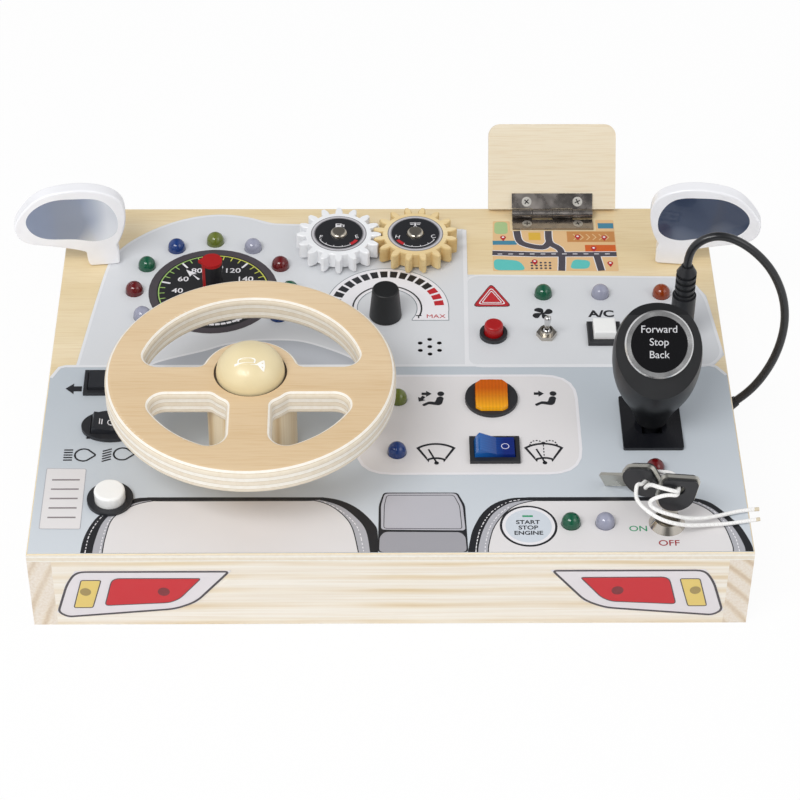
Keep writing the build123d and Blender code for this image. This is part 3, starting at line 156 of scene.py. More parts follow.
# ---------- charging lead
# A short black PVC lead, 3.8 mm thick, from the gland in the case's right side up and
# over into the plug. It is moulded smooth, limp, and shines softly.
def dressed(node, *finishes):
    """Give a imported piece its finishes."""
    data = nodes[node].data
    data.materials.clear()
    for finish in finishes:
        data.materials.append(finish)
    return data


def new_material(name):
    """An empty material, its tree, a Principled shader on its output, and its coordinates."""
    made = bpy.data.materials.new(name)
    tree = emptied(made)
    shader = tree.nodes.new("ShaderNodeBsdfPrincipled")
    add(tree, "OutputMaterial", {"Surface": shader.outputs[0]})
    return made, tree, shader, add(tree, "TexCoord", out="Object")


def noise(tree, place, scale, detail=2.0, **more):
    """Cloudy noise. Its patches are about 1000 / scale millimetres across."""
    return add(tree, "TexNoise", {"Vector": place, "Scale": scale, "Detail": detail, **more})


def blend(tree, factor, a, b, kind="MIX"):
    """Two colours, mixed."""
    return add(tree, "Mix", {"Factor": factor, "A": a, "B": b}, "Result", data_type="RGBA", blend_type=kind)


def relief(tree, height, strength, deep):
    """A bump, deep in metres."""
    return add(tree, "Bump", {"Height": height, "Strength": strength, "Distance": deep})


def moulded(name, code, rough=0.35, coat=0.0, grit=0.4):
    """Moulded plastic: a faint cloud 17 mm wide in one colour, and a pebbled skin of 0.5 mm grains."""
    made, tree, shader, place = new_material(name)
    cloud = noise(tree, place, 60.0, 3.0)
    feed(
        tree, shader, {"Base Color": blend(tree, cloud, srgb(code), srgb(code, 1.16, 0.004)),
            "Roughness": spread(tree, cloud, low=rough * 0.85, high=rough * 1.15),
            "Normal": relief(tree, noise(tree, place, 2200.0), 0.25, 0.0001 * grit), "Coat Weight": coat})
    return made


def laid(name, route, thick, finish):
    """A cord as one smooth line through its route, given in millimetres."""
    drawn = bpy.data.curves.new(name, "CURVE")
    drawn.dimensions = "3D"
    drawn.bevel_depth = thick / 2000
    drawn.bevel_resolution = 5
    drawn.resolution_u = 8
    drawn.use_fill_caps = True
    run = drawn.splines.new("NURBS")
    run.points.add(len(route) - 1)
    for point, (x, y, z) in zip(run.points, route):
        point.co = (x / 1000, y / 1000, z / 1000, 1)
    run.order_u = 3
    run.use_endpoint_u = True
    piece = bpy.data.objects.new(name, drawn)
    bpy.context.scene.collection.objects.link(piece)
    drawn.materials.append(finish)
    return piece


black_pvc = moulded("black_pvc_jacket", "17181B", rough=0.30, coat=0.2)
lead = laid("charging_lead", [
    (157.2, 8.2, 15.0), (162.2, 9.0, 19.0), (168.3, 10.6, 27.3), (172.8, 12.0, 37.5), (175.3, 13.5, 48.5),
    (175.8, 15.2, 59.0), (173.8, 17.0, 70.0), (169.0, 18.3, 81.0), (162.5, 19.6, 89.5), (154.1, 20.9, 96.5),
    (144.7, 22.0, 100.0), (136.3, 22.3, 97.5), (131.0, 22.3, 90.4), (131.0, 22.3, 82.5)], 3.8, black_pvc)
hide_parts("charge_cord")
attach(lead, "case")
black_abs = moulded("black_abs", "1B1D21", rough=0.38)
dressed("cord_gland", black_abs)
dressed("charge_plug", moulded("black_soft_pvc", "15161A", rough=0.42))
dressed("charge_socket", black_abs)

# ---------- key string
# White braided polyester, 1.7 mm thick, doubled through the holes of both keys. Its
# two tails lie on the panel, and their cut ends are melted to a beige bead.
# Its strands cross 0.75 mm apart under a slight sheen. Past MELTED_FROM the ends are beige.
MELTED_FROM = 0.1520
braid, tree, shader, place = new_material("white_braided_polyester")
turned = add(tree, "Mapping", {"Vector": place, "Rotation": (0.6, 0.4, 0.785)})
over, under = (add(tree, "TexWave", {"Vector": turned, "Scale": 420.0}, "Fac", bands_direction=way) for way in "XY")
plait = maths(tree, "MAXIMUM", over, under)
yarn = add(tree, "ValToRGB", {"Fac": plait}, stops=[(0.2, "ECEAE7"), (0.8, "F9F8F6")])
melted = maths(tree, "GREATER_THAN", along(tree, place, 0), MELTED_FROM)
feed(
    tree, shader, {"Base Color": blend(tree, melted, yarn, srgb("D9CDB4")), "Roughness": 0.75, "Sheen Weight": 0.3,
        "Normal": relief(tree, plait, 0.4, 0.0001)})
string = laid("key_string", [
    (153.7, -95.9, 43.6), (146.5, -97.2, 43.4), (139.0, -98.8, 43.6), (131.2, -100.6, 45.0),
    (123.5, -103.6, 47.6), (116.0, -106.0, 51.3), (109.5, -105.0, 53.5), (104.2, -101.2, 55.3),
    (101.3, -96.8, 56.2), (101.3, -93.0, 57.2), (101.9, -90.5, 59.0), (104.5, -89.8, 57.9),
    (109.0, -82.9, 58.7), (112.3, -84.2, 59.8), (116.0, -87.3, 62.3), (117.5, -91.0, 63.9),
    (118.5, -100.9, 64.2), (114.3, -101.2, 65.8), (109.2, -100.5, 67.0), (106.8, -96.5, 64.5),
    (105.4, -93.0, 60.0), (105.4, -90.3, 55.9), (109.9, -83.3, 56.9), (113.2, -84.6, 57.6),
    (116.6, -88.0, 60.0), (117.5, -91.5, 61.8), (118.3, -100.9, 62.2), (113.8, -101.2, 63.3),
    (109.3, -101.6, 62.3), (106.0, -101.0, 59.2), (107.2, -101.6, 56.5), (111.2, -103.1, 55.1),
    (116.8, -103.6, 53.4), (123.2, -101.4, 49.4), (131.5, -97.5, 45.9), (139.5, -93.3, 43.8),
    (147.0, -90.5, 43.4), (154.0, -90.0, 43.6)], 1.7, braid)
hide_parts("key_cord")
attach(string, "case")


# ---------- case
# A birch plywood panel glued on finger-wide pine rails under clear matt lacquer, with
# a hardboard cover screwed in from below. The pine shows its yellow growth rings.
WAVE = 314.16  # millimetres from band to band in a wave texture of scale 1


def mapped(tree, place, **how):
    """Coordinates, moved, turned or stretched."""
    return add(tree, "Mapping", {"Vector": place, **how})


def ramp(tree, value, *stops):
    """A value as a colour."""
    return add(tree, "ValToRGB", {"Fac": value}, stops=stops)


def timber(name, light, middle, dark, grain, ring, centre):
    """Solid wood: growth rings round an axis beside the plank, with fine pores along the grain."""
    made, tree, shader, place = new_material(name)
    rings = add(tree, "TexWave", {
        "Vector": mapped(tree, place, Location=tuple(-c / 1000 for c in centre)), "Scale": WAVE / ring,
        "Distortion": 2.6, "Detail": 2.0, "Detail Scale": 0.12 * ring / 5, "Detail Roughness": 0.55}, "Fac",
        wave_type="RINGS", rings_direction=grain)
    # Pores are 1 mm wide and 55 mm long, coarser than real ones, so that they show at arm's length.
    stretch = [18.0 if axis == grain else 900.0 for axis in "XYZ"]
    pores = noise(tree, mapped(tree, place, Scale=stretch), 1.0, 3.0)
    faded = spread(tree, noise(tree, place, 14.0), 0.35, 0.65, 0.25, 1.0)
    ringed = blend(
        tree, faded, srgb(light), ramp(tree, rings, (0.0, light), (0.45, light), (0.78, middle), (1.0, dark)))
    streak = ramp(tree, pores, (0.3, "F3ECE2"), (0.62, "FFFFFF"))
    feed(
        tree, shader, {"Base Color": blend(tree, 0.8, ringed, streak, "MULTIPLY"),
            "Normal": relief(tree, pores, 0.25, 0.0001), "Roughness": 0.55})
    return made


def veneer(name, light, dark, figure=14.0, rough=0.5, coat=0.0):
    """Rotary-cut plywood face: broad pale figure and fine short pores, both along X."""
    made, tree, shader, place = new_material(name)
    # Pores are 0.7 mm wide and 17 mm long, drawn coarser than real ones.
    broad = mapped(tree, place, Scale=(figure / 4, figure * 3.2, figure * 3.2))
    cloud = noise(tree, broad, 1.0, 3.0, Roughness=0.45, Distortion=0.6)
    pores = noise(tree, mapped(tree, place, Scale=(60.0, 1400.0, 1400.0)), 1.0)
    hue = ramp(tree, cloud, (0.32, light), (0.68, dark))
    streak = ramp(tree, pores, (0.28, "F5EEE3"), (0.55, "FFFFFF"))
    feed(
        tree, shader, {"Base Color": blend(tree, 0.7, hue, streak, "MULTIPLY"), "Roughness": rough,
            "Normal": relief(tree, pores, 0.2, 0.00008), "Coat Weight": coat})
    return made


def plies(name, low, layer, light, dark, glue, lean=0.0):
    """The edge of plywood: level plies of two tones with a thin glue line between them."""
    made, tree, shader, place = new_material(name)
    base = mapped(tree, place, Location=(0, 0, -low / 1000), Rotation=(radians(lean), 0, 0))
    bands = add(tree, "TexWave", {"Vector": base, "Scale": WAVE / 2 / layer}, "Fac", bands_direction="Z")
    tone = ramp(tree, bands, (0.0, light), (0.40, light), (0.5, glue), (0.60, dark), (1.0, dark))
    streak = ramp(tree, noise(tree, place, 500.0, 3.0), (0.3, "F0E9DE"), (0.6, "FFFFFF"))
    feed(
        tree, shader, {"Base Color": blend(tree, 0.35, tone, streak, "MULTIPLY"),
            "Normal": relief(tree, bands, 0.35, 0.0001), "Roughness": 0.6})
    return made


def edges_apart(node, lean=0.75, out=Vector((0, 0, 1))):
    """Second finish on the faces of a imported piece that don't face out or in."""
    for face in nodes[node].data.polygons:
        face.material_index = 0 if abs(face.normal.dot(out)) > lean else 1


PLY = 1.33
SOUND_HOLES, SOUND_REACH = Vector((18.3, 14.6)), 6.3
panel = dressed(
    "top_panel", veneer("birch_plywood_face", "F3E3C2", "E6D1A6", figure=12.0),
    plies("birch_plywood_edge", 38.0, PLY, "F3EFE6", "EAE0CE", "D8C8AC"),
    moulded("painted_shade_in_sound_holes", "18171A", rough=0.8))
edges_apart("top_panel")
# The walls of the sound holes get a near-black finish: painted shade in the holes.
for face in panel.polygons:
    if face.material_index and (face.center.to_2d() * 1000 - SOUND_HOLES).length < SOUND_REACH:
        face.material_index = 2
dressed("front_rail", timber("pine_along_the_front", "F3EDE2", "EEE3CE", "E3CFAB", "X", 6.5, (0, -150, -22)))
dressed("back_rail", timber("pine_along_the_back", "F3EDE2", "EEE1C8", "E0C698", "X", 6.0, (0, 160, -30)))
dressed("side_rails", timber("pine_along_the_sides", "EBE2D6", "E2D3BC", "CDB698", "Y", 7.5, (60, 0, -60)))
dressed("base_cover", moulded("brown_hardboard", "8A6A48", rough=0.7, grit=2.0))


def metal(name, code, rough, blotch=0.08, scale=120.0):
    """Plated or polished metal, a little clouded."""
    made, tree, shader, place = new_material(name)
    cloud = noise(tree, place, scale, 4.0)
    feed(
        tree, shader, {"Base Color": blend(tree, cloud, srgb(code, 0.82), srgb(code)), "Metallic": 1.0,
            "Roughness": spread(tree, cloud, 0.3, 0.7, max(rough - blotch, 0.02), rough + blotch)})
    return made


zinc = metal("zinc_plated_steel", "B9B2A4", 0.35)
dressed("base_screws", zinc)


# ---------- printed film
# One sheet of satin vinyl over the panel, printed pale grey above and blue grey below.
# The artwork is laid on it as flat prints, each a hair above the one under it.
SATIN = 0.42


def laminate(tree, place):
    """The orange peel of a clear laminate, drawn 1.4 mm wide."""
    return relief(tree, noise(tree, place, 700.0), 0.12, 0.00005)


def ink(name, code, rough=SATIN):
    """Solvent ink under a satin laminate, slightly uneven."""
    made, tree, shader, place = new_material(name)
    feed(
        tree, shader, {"Base Color": blend(tree, noise(tree, place, 35.0, 3.0), srgb(code, 0.94), srgb(code)),
            "Normal": laminate(tree, place), "Roughness": rough})
    return made


FILM_FRONT, ZONES_MEET = -0.114, 0.0011
vinyl, tree, shader, place = new_material("satin_printed_vinyl")
depth = along(tree, place, 1)
# The lower zone is painted lighter towards the front edge and darker towards where the zones meet: painted light.
lower = ramp(tree, spread(tree, depth, FILM_FRONT, 0.0), (0.0, "CFD5DB"), (1.0, "BDC5CC"))
feed(
    tree, shader, {"Base Color": blend(tree, maths(tree, "LESS_THAN", depth, ZONES_MEET), srgb("D8DADD"), lower),
        "Normal": laminate(tree, place), "Roughness": SATIN})
dressed("dashboard_film", vinyl)

black_ink = ink("black_ink", "1E1F24")
white_ink = ink("white_ink", "EDEBEE")
pale_ink = ink("pale_border_ink", "E8E9EC")
grey_ink = ink("grey_ink", "B3B3B9")
panel_ink = ink("warm_white_ink", "E4E1E1")
red_ink = ink("red_ink", "C01E28")
green_ink = ink("green_ink", "2C9A6A")


def flat(outlines, rise, finish=black_ink):
    """A print filled between its outlines, in millimetres, a rise above what carries it."""
    drawn = bpy.data.curves.new("print", "CURVE")
    drawn.dimensions = "2D"
    drawn.fill_mode = "BOTH"
    for outline in outlines:
        run = drawn.splines.new("POLY")
        run.points.add(len(outline) - 1)
        for point, (x, y) in zip(run.points, outline):
            point.co = (x, y, 0, 1)
        run.use_cyclic_u = True
    made = bpy.data.objects.new("print", drawn)
    bpy.context.scene.collection.objects.link(made)
    return settled(made, rise, finish)


def settled(made, rise, finish):
    """Turn a drawn outline or a word into a flat mesh that faces up."""
    bpy.ops.object.select_all(action="DESELECT")
    made.select_set(True)
    bpy.context.view_layer.objects.active = made
    bpy.ops.object.convert(target="MESH")
    made = bpy.context.object
    bpy.ops.object.transform_apply(location=True, rotation=True, scale=True)
    for face in made.data.polygons:
        if face.normal.z < 0:
            face.flip()
    made.data.transform(Matrix.Translation((0, 0, rise)))
    made.data.materials.clear()
    made.data.materials.append(finish)
    return made


def line(points, width, rise, finish=black_ink, closed=False):
    """A printed line."""
    return flat(stroke(points, width, closed), rise, finish)


def word(text, x, y, tall, rise, finish, bold=0.0, wide=1.0, turn=0.0):
    """A word in plain capitals or digits, centred on x, y, tall millimetres high."""
    bpy.ops.object.text_add()
    made = bpy.context.object
    made.data.body = text
    made.data.size = tall / 0.73
    made.data.offset = bold
    made.data.align_x = "CENTER"
    made.data.align_y = "CENTER"
    made.scale = (wide, 1, 1)
    made.rotation_euler = (0, 0, radians(turn))
    made.location = (x, y, 0)
    return settled(made, rise, finish)


def stroke(points, width, closed=False):
    """Both sides of a line of a given width, mitred at its corners."""
    count = len(points)
    sides = ([], [])
    for i, (x, y) in enumerate(points):
        before = Vector(points[i - 1]) if closed or i else None
        after = Vector(points[(i + 1) % count]) if closed or i < count - 1 else None
        here = Vector((x, y))
        come = (here - before).normalized() if before is not None else None
        go = (after - here).normalized() if after is not None else None
        come, go = come or go, go or come
        side = Vector((-(come + go).y, (come + go).x)).normalized()
        reach = width / 2 / max(side.dot(Vector((-go.y, go.x))), 0.4)
        sides[0].append((x + side.x * reach, y + side.y * reach))
        sides[1].append((x - side.x * reach, y - side.y * reach))
    return list(sides) if closed else [sides[0] + sides[1][::-1]]


def polar(x, y, turn, radius):
    """The point at a turn, in degrees, and a radius round x, y."""
    return x + radius * cos(radians(turn)), y + radius * sin(radians(turn))


def arc(x, y, radius, start, end, steps=32):
    """Points along an arc, in degrees."""
    return [polar(x, y, start + (end - start) * i / steps, radius) for i in range(steps + 1)]


def disc(x, y, radius):
    return arc(x, y, radius, 0, 352.5, 47)


def softened(points, radius):
    """A closed outline with its corners rounded."""
    done = []
    for i, here in enumerate(points):
        here, before, after = Vector(here), Vector(points[i - 1]), Vector(points[(i + 1) % len(points)])
        cut = min(radius, (before - here).length * 0.45, (after - here).length * 0.45)
        a, b = here + (before - here).normalized() * cut, here + (after - here).normalized() * cut
        for k in range(6):
            t = k / 5
            done.append(tuple(a * (1 - t) ** 2 + here * 2 * t * (1 - t) + b * t * t))
    return done


def curved(points, steps=6):
    """A smooth open line through the points."""
    done = []
    for i in range(len(points) - 1):
        p = [Vector(points[max(i + k, 0) if i + k < len(points) else -1]) for k in (-1, 0, 1, 2)]
        for s in range(steps):
            t = s / steps
            done.append(tuple(0.5 * ((2 * p[1]) + (p[2] - p[0]) * t + (2 * p[0] - 5 * p[1] + 4 * p[2] - p[3]) * t * t
                                     + (3 * p[1] - p[0] - 3 * p[2] + p[3]) * t ** 3)))
    return done + [tuple(points[-1])]


def box(x0, y0, x1, y1):
    return [(x0, y0), (x1, y0), (x1, y1), (x0, y1)]


FILM, WOOD, RAIL, GAUGE = 42.25, 42.0, 114.25, 51.5  # the faces that carry prints, in millimetres


def laid_down(name, parts, base=FILM, body="case", place=Matrix()):
    """Join prints into one piece, put it on its base on the board, and let it ride."""
    bpy.ops.object.select_all(action="DESELECT")
    for part in parts:
        part.select_set(True)
    bpy.context.view_layer.objects.active = parts[0]
    if len(parts) > 1:
        bpy.ops.object.join()
    made = bpy.context.object
    made.name = name
    made.data.name = name
    made.data.transform(Matrix.Scale(0.001, 4) @ place @ Matrix.Translation((0, 0, base)))
    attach(made, body)
    bpy.ops.object.select_all(action="DESELECT")
    return made


upper_edge = curved([
    (-138.0, 1.9), (-129.6, 68.0), (-124.0, 82.8), (-114.2, 93.7), (-98.2, 104.0), (-80.6, 108.4), (-65.2, 106.2),
    (-55.5, 102.3), (-39.4, 101.1), (34.6, 97.3)])
right_zone = softened([(35.6, 64.1), (137.8, 62.4), (144.6, 49.2), (148.7, 9.0), (142.6, 1.2), (34.6, 1.2)], 7.0)
across = [(-149.0, -5.8), (-145.8, 0.9), (-143.0, 1.9), (142.0, 1.9), (145.0, 0.7), (149.0, -4.8)]
borders = [
    line(upper_edge, 1.3, 0.04, pale_ink), line([(36.0, 97.6), (35.6, 65.0), (34.6, 2.0)], 1.9, 0.05, pale_ink),
    line(right_zone, 1.3, 0.06, pale_ink, closed=True), line(across, 1.4, 0.07, pale_ink)]
hood = curved([
    (-106.6, 1.9), (-103.6, 4.3), (-95.9, 7.6), (-82.5, 12.3), (-73.5, 16.2), (-64.0, 18.6), (-54.2, 19.5),
    (-40.5, 18.8), (-29.0, 14.4), (-17.5, 7.8), (-12.0, 1.9)])
borders += [flat([hood], 0.03, ink("blue_grey_ink", "B5B9C0")), line(hood, 1.2, 0.055, pale_ink)]
laid_down("panel_borders", borders)

controls = softened(box(-14.0, -67.0, 81.8, -4.9), 15.0)
LED_BORE = 4.2
amber_hole, blue_hole = disc(44.5, -20.7, 10.9), box(34.8, -60.3, 54.8, -46.3)
lamp_holes = [disc(3.7, -20.4, LED_BORE), disc(3.0, -53.9, LED_BORE)]
laid_down("control_panel_print", [
    flat([controls, amber_hole, blue_hole, *lamp_holes], 0.04, panel_ink),
    line(controls, 1.3, 0.08, white_ink, closed=True)])

# ---------- speed dial print
# A black speed dial printed on the film, with a purple-black bezel, white numbers and
# ticks that glow from green at the left to yellow at the right.
DIAL = (-80.0, 53.3)
bezel_ink = ink("purple_black_ink", "4B454A")
dial_ink = ink("charcoal_ink", "222225")
lime_ink = ink("lime_ink", "9DC26A")
yellow_ink = ink("yellow_ink", "C9CC57")
spindle = disc(*DIAL, 3.7)


def ring_tick(turn, inner, outer, width, rise, finish):
    return line([polar(*DIAL, turn, inner), polar(*DIAL, turn, outer)], width, rise, finish)


dial = [flat([disc(*DIAL, 29.6), spindle], 0.09, bezel_ink), flat([disc(*DIAL, 25.9), spindle], 0.12, dial_ink)]
for start, end, tone in ((90, 252, lime_ink), (-48, 90, yellow_ink)):
    dial.append(line(arc(*DIAL, 25.0, start, end, 40), 0.55, 0.15, tone))
for step in range(33):
    turn = 240 - step * 9.375
    major = step % 4 == 0
    tone = white_ink if major else (lime_ink if turn > 90 else yellow_ink)
    dial.append(ring_tick(turn, 20.6 if major else 22.2, 24.7, 0.95 if major else 0.5, 0.16, tone))
for number in range(0, 161, 20):
    turn = 240 - number * 1.5
    x, y = polar(*DIAL, turn, 16.4)
    dial.append(word(str(number), x, y, 3.3, 0.19, white_ink, bold=0.05, wide=1.15))
for step in range(7):
    turn = 264 + step * 6.4
    dial.append(ring_tick(turn, 20.6, 21.9, 2.0, 0.17, white_ink))
    dial.append(ring_tick(turn, 22.9, 24.2, 2.2, 0.17, white_ink))
for arrow in (((131, 20.0), (138, 15.0), (131, 15.6), (124, 14.4)), ((131, 16.5), (134, 10.6), (128, 10.6))):
    dial.append(flat([[polar(*DIAL, *corner) for corner in arrow]], 0.18, white_ink))
laid_down("speed_dial_print", dial)

# ---------- volume print
# The scale round the volume knob: a white plate with black bars that end in three red
# ones at MAX, and a thin arc inside them.
VOLUME = (-0.6, 41.0)
outline_ink = ink("fine_line_ink", "6C7A80")
plate = [(10.6, 32.5), (27.2, 32.5), *arc(*VOLUME, 28.0, -6, 186, 48), (-28.4, 32.5), (-11.8, 32.5),
         *arc(*VOLUME, 13.6, 214, -34, 32)]
scale = [flat([plate], 0.05, white_ink), line(plate, 0.3, 0.09, outline_ink, closed=True)]
for step in range(17):
    turn = 178 - step * 10.6
    bar = [polar(*VOLUME, turn + t, r) for t, r in ((-3.9, 21.7), (-3.9, 26.0), (3.9, 26.0), (3.9, 21.7))]
    scale.append(flat([bar], 0.10, red_ink if step > 13 else black_ink))
scale.append(line(arc(*VOLUME, 15.6, -20, 200, 40), 0.75, 0.10))
for side in (-1, 1):
    x = VOLUME[0] + side * 14.2
    scale.append(flat([box(x - 1.3, 35.4, x + 1.3, 36.0)], 0.11))
    scale.append(flat([box(x - 0.3, 33.9, x + 0.3, 35.4)], 0.11))
scale.append(word("MAX", 21.4, 35.1, 2.6, 0.12, red_ink, wide=1.15))
laid_down("volume_print", scale)

# ---------- right panel prints
# Printed signs over the buttons: a red warning triangle, a four-blade fan, the words
# A/C and a small battery. All are plain car symbols in black or red ink.
crimson_ink = ink("crimson_ink", "B9202A")
plum_ink = ink("plum_ink", "5B2A2E")


def triangle(grow, soft):
    cx, cy = 47.1, 47.6
    return softened(
        [(cx + (x - cx) * grow, cy + (y - cy) * grow) for x, y in ((38.0, 41.8), (56.2, 41.8), (47.2, 58.4))], soft)


signs = [
    flat([triangle(1.0, 3.0)], 0.09, plum_ink), flat([triangle(0.93, 2.6)], 0.12, crimson_ink),
    flat([triangle(0.72, 2.0), triangle(0.64, 1.6)], 0.15, white_ink),
    flat([triangle(0.53, 1.0), triangle(0.46, 0.8)], 0.15, white_ink), flat([triangle(0.44, 0.8)], 0.16, red_ink)]
for turn in (38, 128, 218, 308):
    blade = [polar(0, 0, turn + a, r) for r, a in
             ((0.4, -70), (2.2, -52), (4.0, -40), (5.1, -18), (5.2, 6), (4.3, 22), (2.4, 18), (0.8, 10))]
    signs.append(flat([softened([(69.8 + x, 37.0 + 0.86 * y) for x, y in blade], 1.2)], 0.10))
signs.append(flat([disc(69.8, 37.0, 0.9)], 0.11))
signs.append(word("A/C", 96.4, 36.6, 4.5, 0.10, black_ink, bold=0.22, wide=1.12))
battery = softened(box(119.4, 33.0, 130.6, 39.6), 0.7)
signs.append(line(battery, 0.9, 0.10, closed=True))
for bar in ((120.8, 39.8, 123.4, 41.0), (126.6, 39.8, 129.2, 41.0), (121.2, 35.9, 124.0, 36.7),
            (126.2, 35.9, 129.0, 36.7), (127.2, 34.9, 128.0, 37.7)):
    signs.append(flat([box(*bar)], 0.10))
laid_down("right_panel_signs", signs)


# ---------- control panel signs
# Black signs beside the two rocker switches: air to face and feet, air to face, front
# wiper, and rear wiper with its washer spray.
def seated(x, y, arrows):
    """A seated figure, its head and legs, with its arrows."""
    body = [(x + 2.6, y + 1.4), (x + 4.4, y + 2.0), (x + 5.6, y + 0.9), (x + 4.7, y - 2.9), (x + 3.4, y - 3.9),
            (x + 0.6, y - 3.4), (x - 0.9, y - 3.0), (x - 3.3, y - 4.5), (x - 4.1, y - 3.3), (x - 0.9, y - 1.3),
            (x + 1.8, y - 1.7)]
    parts = [flat([softened(body, 0.8)], 0.12), flat([arc(x + 4.3, y + 3.6, 1.5, 0, 345, 23)], 0.12)]
    for ax, ay, turn, long in arrows:
        c, s = cos(radians(turn)), sin(radians(turn))
        shape = [(-long, -0.8), (0.1, -0.8), (0.1, -1.95), (2.5, 0), (0.1, 1.95), (0.1, 0.8), (-long, 0.8)]
        parts.append(flat([[(x + ax + c * u - s * v, y + ay + s * u + c * v) for u, v in shape]], 0.12))
    return parts


def screen(x, y):
    """The outline of a windscreen with its wiper."""
    glass = [*arc(x, y - 11.0, 12.9, 127, 53, 14), (x + 3.5, y - 8.1), *arc(x, y - 14.5, 7.6, 63, 117, 8),
             (x - 3.5, y - 8.1)]
    blade = stroke([(x - 3.2, y - 1.4), (x + 0.1, y - 9.6)], 0.8)
    return [line(glass, 1.1, 0.12, closed=True), flat([blade[0]], 0.13), flat([disc(x + 0.1, y - 9.9, 1.0)], 0.13)]


marks = seated(18.2, -20.4, ((-2.2, 3.6, 0, 1.9), (-4.0, 0.6, 235, 1.6)))
marks += seated(67.4, -20.4, ((-2.2, 3.6, 0, 1.9),))
marks += screen(19.7, -50.6) + screen(65.9, -50.6)
for side in (-1, 1):
    for step in range(6):
        start = 90 - side * (90 - 28 * step)
        marks.append(line(arc(65.9 + side * 2.9, -49.6, 2.9, start, start + side * 16, 3), 0.6, 0.12))
for a in range(5):
    marks.append(flat([box(65.65, -48.6 - a * 1.9, 66.1, -47.5 - a * 1.9)], 0.12))
laid_down("control_panel_signs", marks)

# ---------- left panel prints
# Left of the wheel: an arrow for the indicator, the full and dipped beam signs, and an
# air vent drawn as a white label with five bars.
marks = [
    flat([[(-142.0, -12.9), (-138.4, -9.6), (-138.4, -11.4), (-134.8, -11.4), (-134.8, -14.7), (-138.2, -14.7),
        (-138.2, -16.5)]], 0.09)]
for x, y, lean in ((-130.4, -55.0, 0.0), (-113.9, -54.4, 1.5)):
    lens = [*arc(x - 0.4, y, 3.7, 62, 298, 18), (x + 4.5, y - 0.35), (x + 4.5, y + 0.35)]
    marks.append(line(softened(lens, 0.9), 0.8, 0.09, closed=True))
    for row in range(5):
        ray = y + 3.1 - row * 1.55
        marks.append(line([(x - 8.9, ray - lean), (x - 5.1, ray)], 0.75, 0.09))
vent = softened([(-145.7, -63.2), (-129.0, -63.6), (-128.8, -99.4), (-145.8, -99.2)], 0.8)
marks += [flat([vent], 0.08, panel_ink), line(vent, 0.3, 0.10, grey_ink, closed=True)]
brown_ink = ink("bar_ink", "8B8385")
for row in range(5):
    y = -70.2 - row * 5.6
    marks.append(line([(-142.9, y), (-131.2, y)], 0.85, 0.11, brown_ink))
laid_down("left_panel_signs", marks)

# ---------- seat prints
# Along the front edge the film shows two pale padded panels with black piping and a
# stitched grey band, and a plain grey cushioned box between them.
edge = -113.35
left_outer = [
    (-127.7, edge), (-126.8, -104.4), (-123.9, -95.6), (-119.8, -89.9), (-108.6, -82.2), (-102.3, -80.9),
    (-96.0, -80.8), (-34.0, -81.0), (-27.7, -81.2), (-20.4, -83.2), (-13.1, -88.4), (-6.6, -97.4), (-5.4, -103.0),
    (-5.3, edge)]
left_grey = [
    (-122.7, edge), (-122.2, -106.9), (-120.2, -97.1), (-116.2, -90.4), (-107.8, -84.7), (-101.6, -82.9),
    (-95.0, -82.8), (-36.0, -82.8), (-29.5, -82.8), (-21.3, -86.2), (-14.9, -92.6), (-10.4, -100.6), (-8.6, edge)]
left_white = [
    (-118.6, edge), (-118.0, -104.5), (-115.7, -93.4), (-108.6, -86.4), (-100.4, -83.2), (-92.0, -83.1),
    (-39.0, -83.1), (-31.3, -83.2), (-24.9, -86.4), (-19.4, -92.2), (-15.8, -99.8), (-13.4, edge)]
right_outer = [
    (31.6, edge), (32.6, -107.2), (34.2, -99.9), (38.2, -90.9), (43.7, -84.9), (50.3, -82.0), (57.0, -81.4),
    (64.0, -81.3), (120.5, -81.4), (127.5, -82.0), (134.7, -85.2), (142.4, -94.3), (146.0, -100.3), (148.9, -109.2),
    (149.3, edge)]
right_grey = [
    (35.9, edge), (36.4, -108.7), (38.5, -100.1), (42.5, -91.5), (48.8, -85.6), (55.9, -83.4), (63.0, -83.3),
    (119.6, -83.3), (126.8, -83.8), (133.4, -87.3), (138.3, -92.8), (142.8, -100.3), (145.6, -109.1), (146.0, edge)]
right_white = [
    (40.0, edge), (40.5, -108.7), (42.6, -99.9), (46.6, -92.4), (52.2, -86.4), (60.0, -83.6), (67.5, -83.5),
    (116.5, -83.5), (124.0, -83.9), (129.0, -86.0), (134.3, -90.7), (138.7, -98.8), (140.9, -109.1), (141.0, edge)]
seats = []
bores = [disc(75.0, -97.0, LED_BORE), disc(89.2, -97.0, LED_BORE), disc(115.0, -97.0, 6.3)]
for outer, band, pad, holes in (
        (left_outer, left_grey, left_white, []), (right_outer, right_grey, right_white, bores)):
    seats.append(flat([curved(outer), *holes], 0.05))
    seats.append(flat([curved(band), *holes], 0.08, grey_ink))
    seats.append(flat([curved(pad), *holes], 0.11, panel_ink))
    seats.append(line(curved(pad), 0.45, 0.12))


def stitches(run, dash=1.15, gap=0.85, width=0.4):
    """White dashes at even steps along a line."""
    made = []
    fine = curved(run, 12)
    travelled = 0.0
    for a, b in zip(fine, fine[1:]):
        step = (Vector(b) - Vector(a)).length
        if travelled % (dash + gap) < dash:
            made.append(line([a, b], width, 0.13, white_ink))
        travelled += step
    return made


